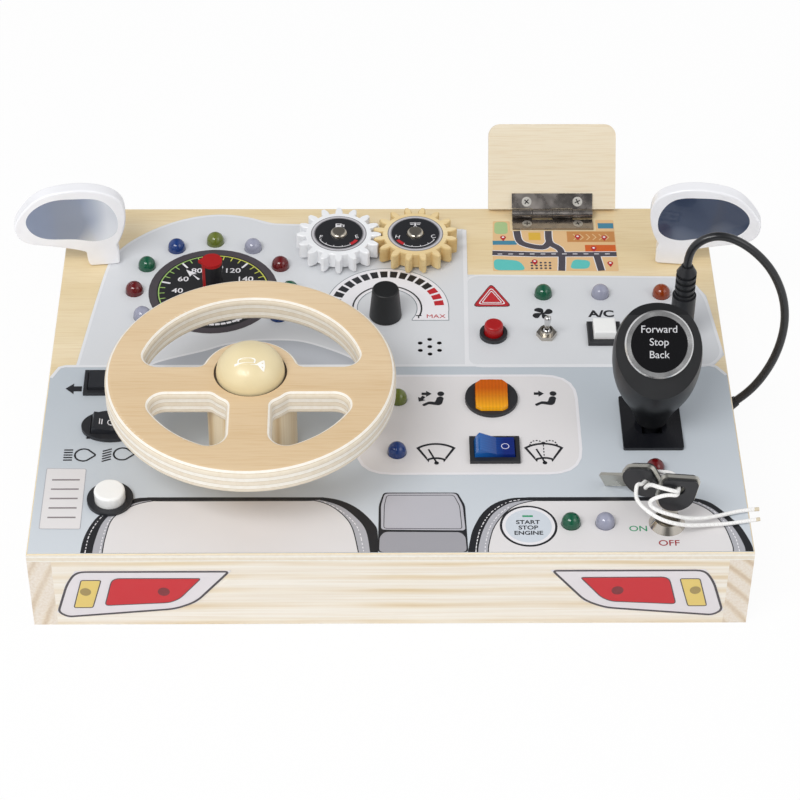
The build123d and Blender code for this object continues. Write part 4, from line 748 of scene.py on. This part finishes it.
for run in (
        [(-125.7, edge), (-124.8, -103.6), (-122.0, -95.4), (-117.6, -88.9), (-109.6, -83.6)],
        [(-119.6, edge), (-119.0, -104.2), (-116.8, -94.2), (-112.2, -88.6)],
        [(-28.0, -83.6), (-21.8, -88.2), (-16.2, -94.6), (-13.0, -101.6), (-11.2, edge)],
        [(34.9, edge), (35.6, -107.2), (37.6, -98.9), (42.0, -90.4), (48.6, -84.6), (55.0, -82.7)],
        [(38.7, edge), (39.2, -107.6), (41.4, -98.6), (45.4, -91.4), (49.6, -87.2)],
        [(129.2, -84.6), (135.6, -90.6), (140.3, -98.8), (142.8, -106.4), (143.5, edge)]):
    seats += stitches(run)
laid_down("seat_prints", seats)

box_top_ink = ink("light_grey_ink", "BDBCC3")
box_low_ink = ink("mid_grey_ink", "A3A2A8")
lid = [(-4.0, -100.3), (-4.0, -86.2), (-2.4, -79.0), (27.6, -79.0), (30.2, -86.4), (31.0, -100.9)]
front = [(-4.9, edge), (-4.6, -104.5), (-2.6, -101.6), (28.8, -101.9), (30.9, -104.6), (31.2, edge)]
outside = softened([(-5.4, edge), (-4.9, -86.0), (-2.9, -78.4), (28.2, -78.5), (31.2, -86.0), (31.8, edge)], 1.6)
seam = softened([(-2.9, -99.6), (-2.6, -86.0), (-1.5, -80.1), (26.6, -80.1), (28.9, -86.4), (29.6, -100.0)], 1.4)
laid_down("cushion_box_print", [
    flat([outside], 0.14), flat([softened(lid, 1.6)], 0.17, box_top_ink),
    flat([softened(front, 2.2)], 0.17, box_low_ink), line(seam, 0.3, 0.20, closed=True)])

# ---------- start and lock prints
# A printed start button and the two words at the key lock, green for on and red for off.
START = (57.3, -98.4)
start_ring = [flat([disc(*START, radius)], rise, finish) for radius, rise, finish in (
    (12.0, 0.14, black_ink), (11.0, 0.17, white_ink), (9.6, 0.20, ink("ice_ink", "D3DAE2")))]
start_ring.append(flat([box(54.9, -93.2, 59.3, -92.2)], 0.23, green_ink))
for text, y in (("START", -96.3), ("STOP", -99.5), ("ENGINE", -102.6)):
    start_ring.append(word(text, 57.1, y, 2.3, 0.23, black_ink, bold=0.07, wide=1.08))
start_ring.append(word("ON", 102.8, -100.2, 3.2, 0.14, green_ink, bold=0.04, wide=1.12))
start_ring.append(word("OFF", 114.9, -108.6, 3.3, 0.14, ink("dark_crimson_ink", "9C1826"), bold=0.04, wide=1.12))
laid_down("start_and_lock_prints", start_ring)

# ---------- map print
# Under the little door a made-up street map is printed straight on the plywood, in
# sand, orange, blue and teal, with grey roads and red pins.
sand_ink, orange_ink = ink("sand_ink", "E4BE8C"), ink("orange_ink", "D2601E")
tan_ink, teal_ink = ink("tan_ink", "C88A4E"), ink("teal_ink", "5CC4BE")
blue_ink, road_ink = ink("street_blue_ink", "3C84A0"), ink("road_ink", "4A4650")
leaf_ink = ink("leaf_ink", "A8C48C")
ground = [
    (48.4, 67.5), (106.6, 67.3), (106.6, 105.0), (98.0, 105.0), (98.0, 96.9), (57.6, 96.9), (57.6, 104.2),
    (49.6, 104.2)]
streets = [flat([softened(ground, 0.8)], 0.03, sand_ink)]
for patch, finish in (
        (softened([(50.0, 94.6), (56.4, 94.6), (56.4, 103.6), (50.4, 103.6)], 2.0), leaf_ink),
        (box(84.0, 88.6, 106.3, 96.4), tan_ink), (box(92.0, 81.4, 106.3, 86.4), orange_ink),
        (box(49.0, 86.6, 60.2, 89.6), blue_ink), (box(99.0, 98.6, 106.3, 102.6), blue_ink),
        (softened([(49.0, 68.0), (64.0, 68.0), (61.0, 75.0), (49.0, 76.4)], 3.0), teal_ink),
        (softened([(84.0, 69.0), (93.0, 69.0), (94.0, 75.0), (86.0, 76.0)], 2.6), teal_ink),
        (box(66.0, 90.0, 71.6, 95.6), ink("mustard_ink", "DDB23E"))):
    streets.append(flat([patch], 0.05, finish))
ways = ([(48.6, 80.6), (70.0, 79.4), (106.4, 79.6)], curved([(75.4, 96.8), (75.8, 88.0), (80.6, 82.0), (80.2, 67.6)]),
        curved([(60.6, 96.8), (62.4, 88.0), (72.0, 84.6), (75.6, 88.6)]), [(97.0, 79.6), (98.6, 67.6)])
for rank, way in enumerate(ways):
    streets += [line(way, 4.0, 0.060 + 0.004 * rank, white_ink), line(way, 3.2, 0.080 + 0.004 * rank, road_ink)]
for x in range(51, 105, 5):
    streets.append(flat([box(x, 79.5, x + 2.2, 80.0)], 0.11, white_ink))
for x, y in ((54.0, 92.0), (89.0, 92.6), (101.4, 92.0), (96.0, 84.0), (68.0, 74.4), (103.0, 73.0)):
    streets += [flat([disc(x, y, 1.35)], 0.13, crimson_ink), flat([disc(x, y + 0.1, 0.6)], 0.15, white_ink),
                flat([[(x - 1.1, y - 0.8), (x, y - 2.8), (x + 1.1, y - 0.8)]], 0.12, crimson_ink)]
for row in range(3):
    for col in range(5):
        streets.append(flat([disc(66.6 + col * 2.1, 69.4 + row * 2.0, 0.62)], 0.11, road_ink))
for col in range(6):
    x = 87.0 + col * 3.0
    streets.append(line([(x, 90.0), (x + 1.6, 92.0), (x, 94.4)], 0.5, 0.11, sand_ink))
laid_down("map_print", streets, WOOD)

# ---------- headlamp films
# A printed label on each half of the front rail shows a headlamp in clear, amber and
# red. Two small lamps sit behind each one and show as darker spots.
dressed("light_films", ink("lamp_label_ink", "E4DFE2"))
amber_ink, lamp_red_ink = ink("lamp_amber_ink", "E6CB74"), ink("lamp_red_ink", "CB222C")
amber_spot, red_spot = ink("amber_shade_ink", "A5905A"), ink("red_shade_ink", "7E2A30")
line_ink = ink("lamp_outline_ink", "4C474C")
STANDING = Matrix.Rotation(radians(90), 4, "X")
for side, name in ((-1, "left_lamp_print"), (1, "right_lamp_print")):
    rim, clear_part, red_part = (softened([(side * x, z) for x, z in outline], soft) for outline, soft in (
        (((67.0, 32.1), (71.0, 32.1), (130.2, 32.1), (134.4, 24.8), (139.2, 8.1), (135.4, 5.1), (90.0, 9.8),
          (81.2, 14.1), (69.5, 28.9)), 4.0),
        (((128.4, 27.1), (120.1, 27.1), (124.6, 10.7), (132.5, 10.7)), 1.0),
        (((115.5, 28.2), (81.7, 28.1), (78.7, 28.1), (80.6, 25.6), (88.0, 16.0), (92.3, 13.6), (119.5, 11.9),
          (118.4, 16.2)), 3.4)))
    laid_down(name, [
        line(rim, 1.0, 0.03, line_ink, closed=True), flat([clear_part], 0.04, amber_ink),
        flat([red_part], 0.04, lamp_red_ink), line(clear_part, 0.45, 0.07, line_ink, closed=True),
        line(red_part, 0.45, 0.07, line_ink, closed=True), flat([disc(side * 127.0, 20.2, 2.3)], 0.06, amber_spot),
        flat([disc(side * 94.5, 20.2, 2.5)], 0.06, red_spot)], RAIL, place=STANDING)

# ---------- steering wheel
# Cut from thick birch plywood, sanded round and waxed: tan faces, and the pale plies
# show as bands round the rim and in the openings.
dressed("steering_wheel", veneer("waxed_birch_face", "E6CDA8", "DCC098", figure=6.0, rough=0.42, coat=0.1),
        plies("waxed_birch_edge", 72.0, 2.0, "F5F0E6", "EADFCC", "BFA985"))
edges_apart("steering_wheel", 0.92)
dressed("steering_column", timber("turned_birch_column", "E6D6B8", "DCC49A", "C9A878", "Z", 7.0, (-30, -60, 0)))

# ---------- horn
# A domed cream button, gloss lacquered, on a spring in a thin plastic shell, with a
# pale horn sign printed on its top.
dressed("horn_housing", moulded("dark_brown_abs", "4A3A2C", rough=0.4))
dressed("horn_button", moulded("cream_gloss_lacquer", "E2D2A8", rough=0.34, coat=0.15, grit=0.2))
dressed("horn_spring", metal("spring_steel", "A8A8A6", 0.3))
cream_ink = ink("cream_white_ink", "FFFDF6", rough=0.3)


def stepped(points):
    """More points along a line, so that its print can bend over the dome."""
    runs = [(Vector(a), Vector(b)) for a, b in zip(points, points[1:])]
    return [tuple(a.lerp(b, k / 10)) for a, b in runs for k in range(10)] + [points[-1]]


horn_marks = [stroke(stepped(run), wide) for run, wide in (
    ([(-6.1, -0.3), (4.3, -0.5)], 0.9), ([(3.6, -0.5), (5.7, 1.2)], 0.8), ([(3.6, -0.5), (5.9, -0.5)], 1.2),
    ([(3.6, -0.5), (5.6, -2.2)], 0.8), ([(5.9, 1.7), (6.2, -0.5), (5.8, -2.6)], 0.7))]
horn_marks.append(
    stroke(curved([(-4.4, -0.2), (-4.5, 1.0), (-3.5, 1.8), (1.4, 1.7), (2.4, 1.0), (2.0, -0.2)], 10), 0.6))
sign = laid_down("horn_sign", [flat(mark, 0.012 * i, cream_ink) for i, mark in enumerate(horn_marks)], 0.0, "horn")
bpy.context.view_layer.update()
SIGN_MIDDLE, INK_LIFT = Vector((-0.0585, -0.0484 - 0.0063, 0.12)), 0.0001
for corner in sign.data.vertices:
    above = SIGN_MIDDLE + Vector((corner.co.x, corner.co.y, 0))
    spot, lean = nodes["horn_button"].ray_cast(above, Vector((0, 0, -1)))[1:3]
    corner.co = spot + lean * (INK_LIFT + corner.co.z)

# ---------- gears
# Two sawn wooden gears, one painted white and one left plain. Each carries a printed
# gauge disc with a silver rim, fuel on the white one and heat on the plain one.
dressed("white_gear", moulded("white_wood_paint", "E9EAEC", rough=0.45, coat=0.1, grit=1.0))
dressed("natural_gear", veneer("sawn_lime_wood", "F4E0B0", "E9CE98", figure=20.0, rough=0.55),
        veneer("sawn_lime_wood_edge", "E8D09A", "CDAE74", figure=26.0, rough=0.7))
edges_apart("natural_gear")
dressed("gear_axles", metal("nickel_plated_rivet", "C9C1B4", 0.16))
silver_ink, shade_ink = ink("silver_rim_ink", "C6C4C8", rough=0.3), ink("rim_shade_ink", "7C7A7E", rough=0.3)


def gauge(x, y, left, right, red_from, red_to):
    """A gauge disc: rim, black face, a scale along its foot, and its two letters."""
    hole = disc(x, y, 3.95)
    low, high = (207, 305) if red_to > 300 else (235, 333)
    made = [flat([disc(x, y, radius), hole], rise, finish) for radius, rise, finish in (
        (12.9, 0.03, shade_ink), (12.5, 0.05, silver_ink), (11.5, 0.07, shade_ink), (11.0, 0.09, black_ink))]
    made += [
        line(arc(x, y, 9.8, low, high, 20), 0.35, 0.12, white_ink),
        flat([[*arc(x, y, 10.3, red_from, red_to, 8), *arc(x, y, 8.7, red_to, red_from, 8)]], 0.12, red_ink),
        word(left, x - 8.3, y - 2.6, 2.5, 0.12, white_ink, turn=-12),
        word(right, x + 8.3, y - 2.4, 2.5, 0.12, white_ink, turn=12)]
    for i in range(5):
        turn = low + (high - low) * i / 4
        made.append(line([polar(x, y, turn, 9.8), polar(x, y, turn, 8.9)], 0.35, 0.12, white_ink))
    return made


fuel = gauge(-22.8, 83.4, "F", "E", 305, 330)
fuel += [
    flat([box(-24.3, 88.0, -21.6, 90.6), box(-23.8, 89.4, -22.1, 90.1)], 0.12, white_ink),
    flat([box(-24.7, 87.5, -21.2, 87.9)], 0.12, white_ink),
    line([(-21.5, 90.2), (-20.8, 89.6), (-20.8, 88.3), (-20.4, 88.3), (-20.4, 89.9)], 0.28, 0.12, white_ink)]
laid_down("fuel_gauge_print", fuel, GAUGE, "white_gear")
heat = gauge(12.7, 83.4, "H", "C", 210, 235)
heat += [flat([shape], 0.12, white_ink) for shape in (
    box(12.3, 88.0, 13.1, 91.4), disc(12.7, 88.0, 0.85), box(10.2, 90.8, 15.3, 91.2), box(10.4, 89.8, 12.0, 90.2),
    box(13.4, 89.8, 15.0, 90.2))]
laid_down("heat_gauge_print", heat, GAUGE, "natural_gear")

# ---------- map door
# A little plywood door leans back on a nickel-plated butt hinge held by cross-head
# screws; its sawn edge shows the plies.
LEAN = 126
HINGE = Matrix.Translation((0, 107.0, 44.3))
dressed("map_door", veneer("birch_door_face", "F1E7D2", "E9DCC2", figure=8.0),
        plies("birch_door_edge", 62.8, PLY, "EEE4D0", "DCC8A4", "C0A67C", lean=LEAN))
edges_apart("map_door", out=Vector((0, sin(radians(LEAN)), cos(radians(LEAN)))))
nickel = metal("worn_nickel_plate", "A69F9A", 0.27, blotch=0.15, scale=150.0)
for piece in ("hinge_fixed_leaf", "hinge_moving_leaf"):
    dressed(piece, nickel)
dressed("hinge_pin", zinc)
screw_metal = metal("bright_nickel_screw", "EAE6DE", 0.42)
for piece in ("hinge_fixed_screws", "hinge_moving_screws"):
    dressed(piece, screw_metal)
dark_slot = moulded("shadowed_screw_recess", "1C1A18", rough=0.7)
OPENED = HINGE @ Matrix.Rotation(radians(-LEAN), 4, "X")
FLIPPED = OPENED @ Matrix.Translation((155.4, 0, 0)) @ Matrix.Rotation(pi, 4, "Y")
LEAF_FACE, SCREW_ROW, SLOT_REACH = -1.4, -5.6, 1.35
# The screws' cross slots are drawn as dark lines on the leaves: painted shade in their recesses.
for name, body, place, tilt in (
        ("fixed_screw_slots", "case", HINGE, 20), ("moving_screw_slots", "door", FLIPPED, 50)):
    crosses = []
    for x in (65.7, 89.7):
        for turn in (tilt + x, tilt + x + 90):
            dx, dy = SLOT_REACH * cos(radians(turn)), SLOT_REACH * sin(radians(turn))
            crosses.append(line([(x - dx, SCREW_ROW - dy), (x + dx, SCREW_ROW + dy)], 0.5, 0.015, dark_slot))
    laid_down(name, crosses, LEAF_FACE, body, place)

# ---------- wing mirrors
# Two mirror shapes of plywood in white gloss paint, each with a mirror-film pane whose reflection is painted on:
# a soft grey-blue sky and a bright glare towards one corner, as painted reflection.
gloss_white = moulded("white_gloss_paint", "EFEFF2", rough=0.24, coat=0.3, grit=0.6)


def pane(name, low, high, painted_glare, start, end):
    """Mirror film with a painted reflection: a soft gradient between two points across the pane, up to a bright
    painted glare, under a clear coat.
    """
    made, tree, shader, place = new_material(name)
    across, climb = (spread(tree, along(tree, place, axis), start[i], end[i]) for i, axis in enumerate((0, 2)))
    mixed = maths(tree, "ADD", maths(tree, "ADD", across, climb), noise(tree, place, 40.0, 1.0))
    hue = ramp(tree, maths(tree, "MULTIPLY", mixed, 0.4), (0.18, low), (0.60, high), (0.80, painted_glare))
    feed(tree, shader, {"Base Color": hue, "Metallic": 0.25, "Roughness": 0.18, "Coat Weight": 0.6})
    return made


for side in ("left", "right"):
    dressed(side + "_mirror", gloss_white)
dressed("left_mirror_glass", pane("mirror_film_left_painted_reflection", "717E98", "8E9AB2", "EEF1F6", (-0.160, 0.090), (-0.128, 0.044)))
dressed("right_mirror_glass", pane("mirror_film_right_painted_reflection", "36415A", "424E66", "8C94A6", (0.106, 0.092), (0.196, 0.038)))

# ---------- knobs
# The volume knob is a plain tapered black cap. The speed knob is a slim black spindle
# with a red flank, and its red pointer cap sits on top. Both turn on steel shafts.
dressed("volume_knob", moulded("matt_black_knob", "0E0F11", rough=0.42))
RED_FLANK = -0.0830
two_tone, tree, shader, place = new_material("black_and_red_knob")
flank = maths(tree, "LESS_THAN", along(tree, place, 0), RED_FLANK)
feed(
    tree, shader, {"Base Color": blend(tree, flank, srgb("1B1A1E"), srgb("A81C1C")), "Roughness": 0.32,
        "Normal": relief(tree, noise(tree, place, 1500.0), 0.2, 0.00004)})
dressed("speed_knob", two_tone)
red_gloss = moulded("red_gloss_abs", "A4080C", rough=0.3)
dressed("speed_pointer", red_gloss)
dressed("knob_pots", zinc)

# ---------- buttons and toggle
# Red, white and square white push caps in black bezels, and a small chromed toggle
# switch with its hexagon nut.
satin_black = moulded("satin_black_abs", "212226", rough=0.4)
dressed("button_frames", satin_black)
dressed("red_cap", red_gloss)
dressed("white_cap", moulded("white_gloss_abs", "F2F2F0", rough=0.25, coat=0.2))
dressed("square_cap", moulded("white_satin_abs", "ECECEA", rough=0.35))
dressed("toggle_switch", metal("nickel_plated_brass", "C9C3BA", 0.2))
dressed("toggle_lever", metal("polished_chrome", "DADADA", 0.08, blotch=0.04))

# ---------- rocker switches
# Black bezels with four caps: clear amber, clear blue, and two black ones with their
# marks moulded in white.
dressed("rocker_frames", satin_black)


def clear_plastic(name, deep, bright, start, end, axis, glow):
    """Clear tinted plastic, deep to bright along one axis as painted light on its lit side, with a faint painted glow
    and ribs 1.5 mm apart inside.
    """
    made, tree, shader, place = new_material(name)
    hue = blend(tree, spread(tree, along(tree, place, axis), start, end), srgb(deep), srgb(bright))
    ribs = add(tree, "TexWave", {"Vector": place, "Scale": 210.0}, "Color", bands_direction="X" if axis else "Y")
    lined = blend(tree, 0.12, hue, ribs, "MULTIPLY")
    feed(
        tree, shader, {"Base Color": lined, "Emission Color": lined, "Emission Strength": glow,
            "Transmission Weight": 0.25, "Roughness": 0.12, "Coat Weight": 0.15})
    return made


# The amber cap is painted brighter towards the front and the blue one towards the left, as painted highlights, and
# both glow faintly though no lamp is inside.
dressed("amber_cap", clear_plastic("clear_amber_plastic", "BE5A04", "F8B41C", -0.018, -0.030, 1, glow=0.20))
dressed("blue_cap", clear_plastic("clear_blue_plastic", "0C2A80", "1A70C4", 0.049, 0.036, 0, glow=0.06))
dressed("indicator_cap", moulded("satin_black_rocker", "24262B", rough=0.3))
dressed("lamp_cap", moulded("gloss_black_rocker", "24262B", rough=0.3))


def on_cap(x, y, height, tilt=0.0):
    """The place of a mark on a cap: where it is, and how far it leans about Y."""
    return Matrix.Translation((x, y, height)) @ Matrix.Rotation(radians(tilt), 4, "Y")


# The caps' tops are a shallow V, so the marks on the black ones climb from its middle.
CAP_MIDDLE, CAP_SLOPE = 3.05, tan(radians(11))
laid_down(
    "blue_cap_mark", [flat([disc(0, 0, 1.75), disc(0, 0, 1.4)], 0.03, ink("lilac_white_ink", "D8D6EC"))], 0.0,
    "blue_rocker", on_cap(49.2, -53.5, 45.49))
for name, body, place, shapes in (
        ("indicator_cap_mark", "indicator_rocker", on_cap(-123.5, -10.0, 42.5, -11.0),
            ([box(0.5, -2.6, 0.95, 0.6)], [box(1.6, -2.6, 2.05, 0.6)])),
        ("lamp_cap_mark", "lamp_rocker", on_cap(-120.0, -38.0, 42.5),
            ([box(-5.1, -2.1, -4.7, 1.3)], [box(-4.1, -2.1, -3.7, 1.3)],
            [disc(0.2, -0.3, 1.85), disc(0.2, -0.3, 1.45)]))):
    shapes = [flat(shape, 0.04, white_ink) for shape in shapes]
    for shape in shapes:
        for corner in shape.data.vertices:
            corner.co.z += CAP_MIDDLE + abs(corner.co.x) * CAP_SLOPE
    laid_down(name, shapes, 0.0, body, place)

# ---------- gear lever
# A fat turned knob in satin black on a black shaft, standing on a black plate. Its
# slanted top has a chromed ring round a black disc with silver lettering.
dressed("lever_plate", moulded("gloss_black_acrylic", "121318", rough=0.2, coat=0.2))
dressed("lever_shaft", moulded("satin_black_shaft", "17181C", rough=0.4))
dressed("lever_knob", moulded("satin_black_lacquer", "0F1013", rough=0.36))
dressed("lever_ring", metal("chromed_ring", "F0F0F0", 0.22, blotch=0.06))
silver_print = ink("silver_ink", "CFCFD2", rough=0.3)
SLANT = Matrix.Translation((113.0, -38.6, 90.0)) @ Matrix.Rotation(radians(46), 4, "X")
lever_words = [word(text, 0, y, 3.2, 0.935, silver_print, bold=0.01, wide=1.03)
               for text, y in (("Forward", 6.3), ("Stop", 0.9), ("Back", -4.4))]
lever_words.append(flat([disc(0, 0, 11.9)], 0.915, ink("gloss_black_disc", "0C0C0F", rough=0.12)))
laid_down("lever_words", lever_words, 0.0, "gear_lever", SLANT)

# ---------- lock and keys
# A nickel-plated key switch. Both keys are grey steel with black plastic pads, so that
# the metal shows as a thin pale rim round the bow.
dressed("lock_body", metal("bright_nickel_lock", "D6CFC4", 0.12, blotch=0.06))
dressed("lock_barrel", metal("turned_steel_barrel", "8E867A", 0.28))
key_steel = metal("blanked_key_steel", "CFCDC4", 0.34)
key_pad = moulded("black_key_pad", "1B1C20", rough=0.36)
PAD_FROM = 0.95
for piece, middle, normal in (
        ("ignition_key", (115.0, -97.0, 45.5), Vector((0.0872, -0.9962, 0.0)).normalized()),
        ("spare_key", (89.7, -73.5, 45.3), Vector((-0.535, -0.834, -0.128)).normalized())):
    data = dressed(piece, key_steel, key_pad)
    if piece == "spare_key":
        axis = Vector((0.70, -0.523, 0.480)).normalized()
        normal = (normal - axis * normal.dot(axis)).normalized()
    for face in data.polygons:
        face.material_index = int(abs((face.center * 1000 - Vector(middle)).dot(normal)) > PAD_FROM)

# ---------- indicator lamps
# Seventeen tinted 8 mm LEDs, domed and clear, each painted darker towards its foot as painted shade. Each colour is a
# dyed epoxy of its own.
LAMPS = {
    "green": ("0C5C40", (70.7, 50.3), (75.0, -97.0), (-45.0, 53.0), (-111.24, 70.75)),
    "red": ("6A0A10", (-49.76, 70.75), (-116.0, 53.0), (112.6, -64.8)),
    "smoke": ("A6A8BC", (-62.75, 83.74), (-111.24, 35.25), (96.8, 50.3), (89.2, -97.0)),
    "olive": ("6E7A2C", (-80.5, 88.5), (3.7, -20.4)),
    "blue": ("173C80", (-98.25, 83.74), (-49.76, 35.25), (3.0, -53.9)), "amber": ("963A08", (124.7, 50.3))}


def dyed_epoxy(name, code):
    """Dyed clear epoxy, painted darker towards its foot in cloudy patches: painted shade."""
    made, tree, shader, place = new_material(name)
    level = maths(
        tree, "MULTIPLY", spread(tree, along(tree, place, 2), 0.0425, 0.0472), noise(tree, place, 260.0, 1.0))
    hue = blend(tree, 0.5, blend(tree, level, srgb(code, 0.45), srgb(code)), srgb(code))
    feed(tree, shader, {"Base Color": hue, "Roughness": 0.06, "Coat Weight": 0.3})
    return made


leds = dressed("indicator_leds", *[dyed_epoxy(name + "_epoxy", LAMPS[name][0]) for name in LAMPS])
centres = [(i, Vector(at)) for i, name in enumerate(LAMPS) for at in LAMPS[name][1:]]
for face in leds.polygons:
    here = Vector((face.center.x * 1000, face.center.y * 1000))
    face.material_index = min(centres, key=lambda c: (c[1] - here).length)[0]
dressed("light_leds", dyed_epoxy("clear_epoxy", "D8D8DC"))

# ---------- works inside
# Under the panel: a black box with two wrapped cells, a green circuit board with its
# parts, and a small black speaker behind the sound holes.
dressed("battery_box", black_abs)
dressed("batteries", moulded("shrink_wrapped_cell", "2F6FA8", rough=0.3))
dressed("circuit_board", moulded("green_solder_mask", "1F6B3E", rough=0.35))
dressed("speaker", moulded("black_paper_cone", "2A2A2C", rough=0.8, grit=2.0))
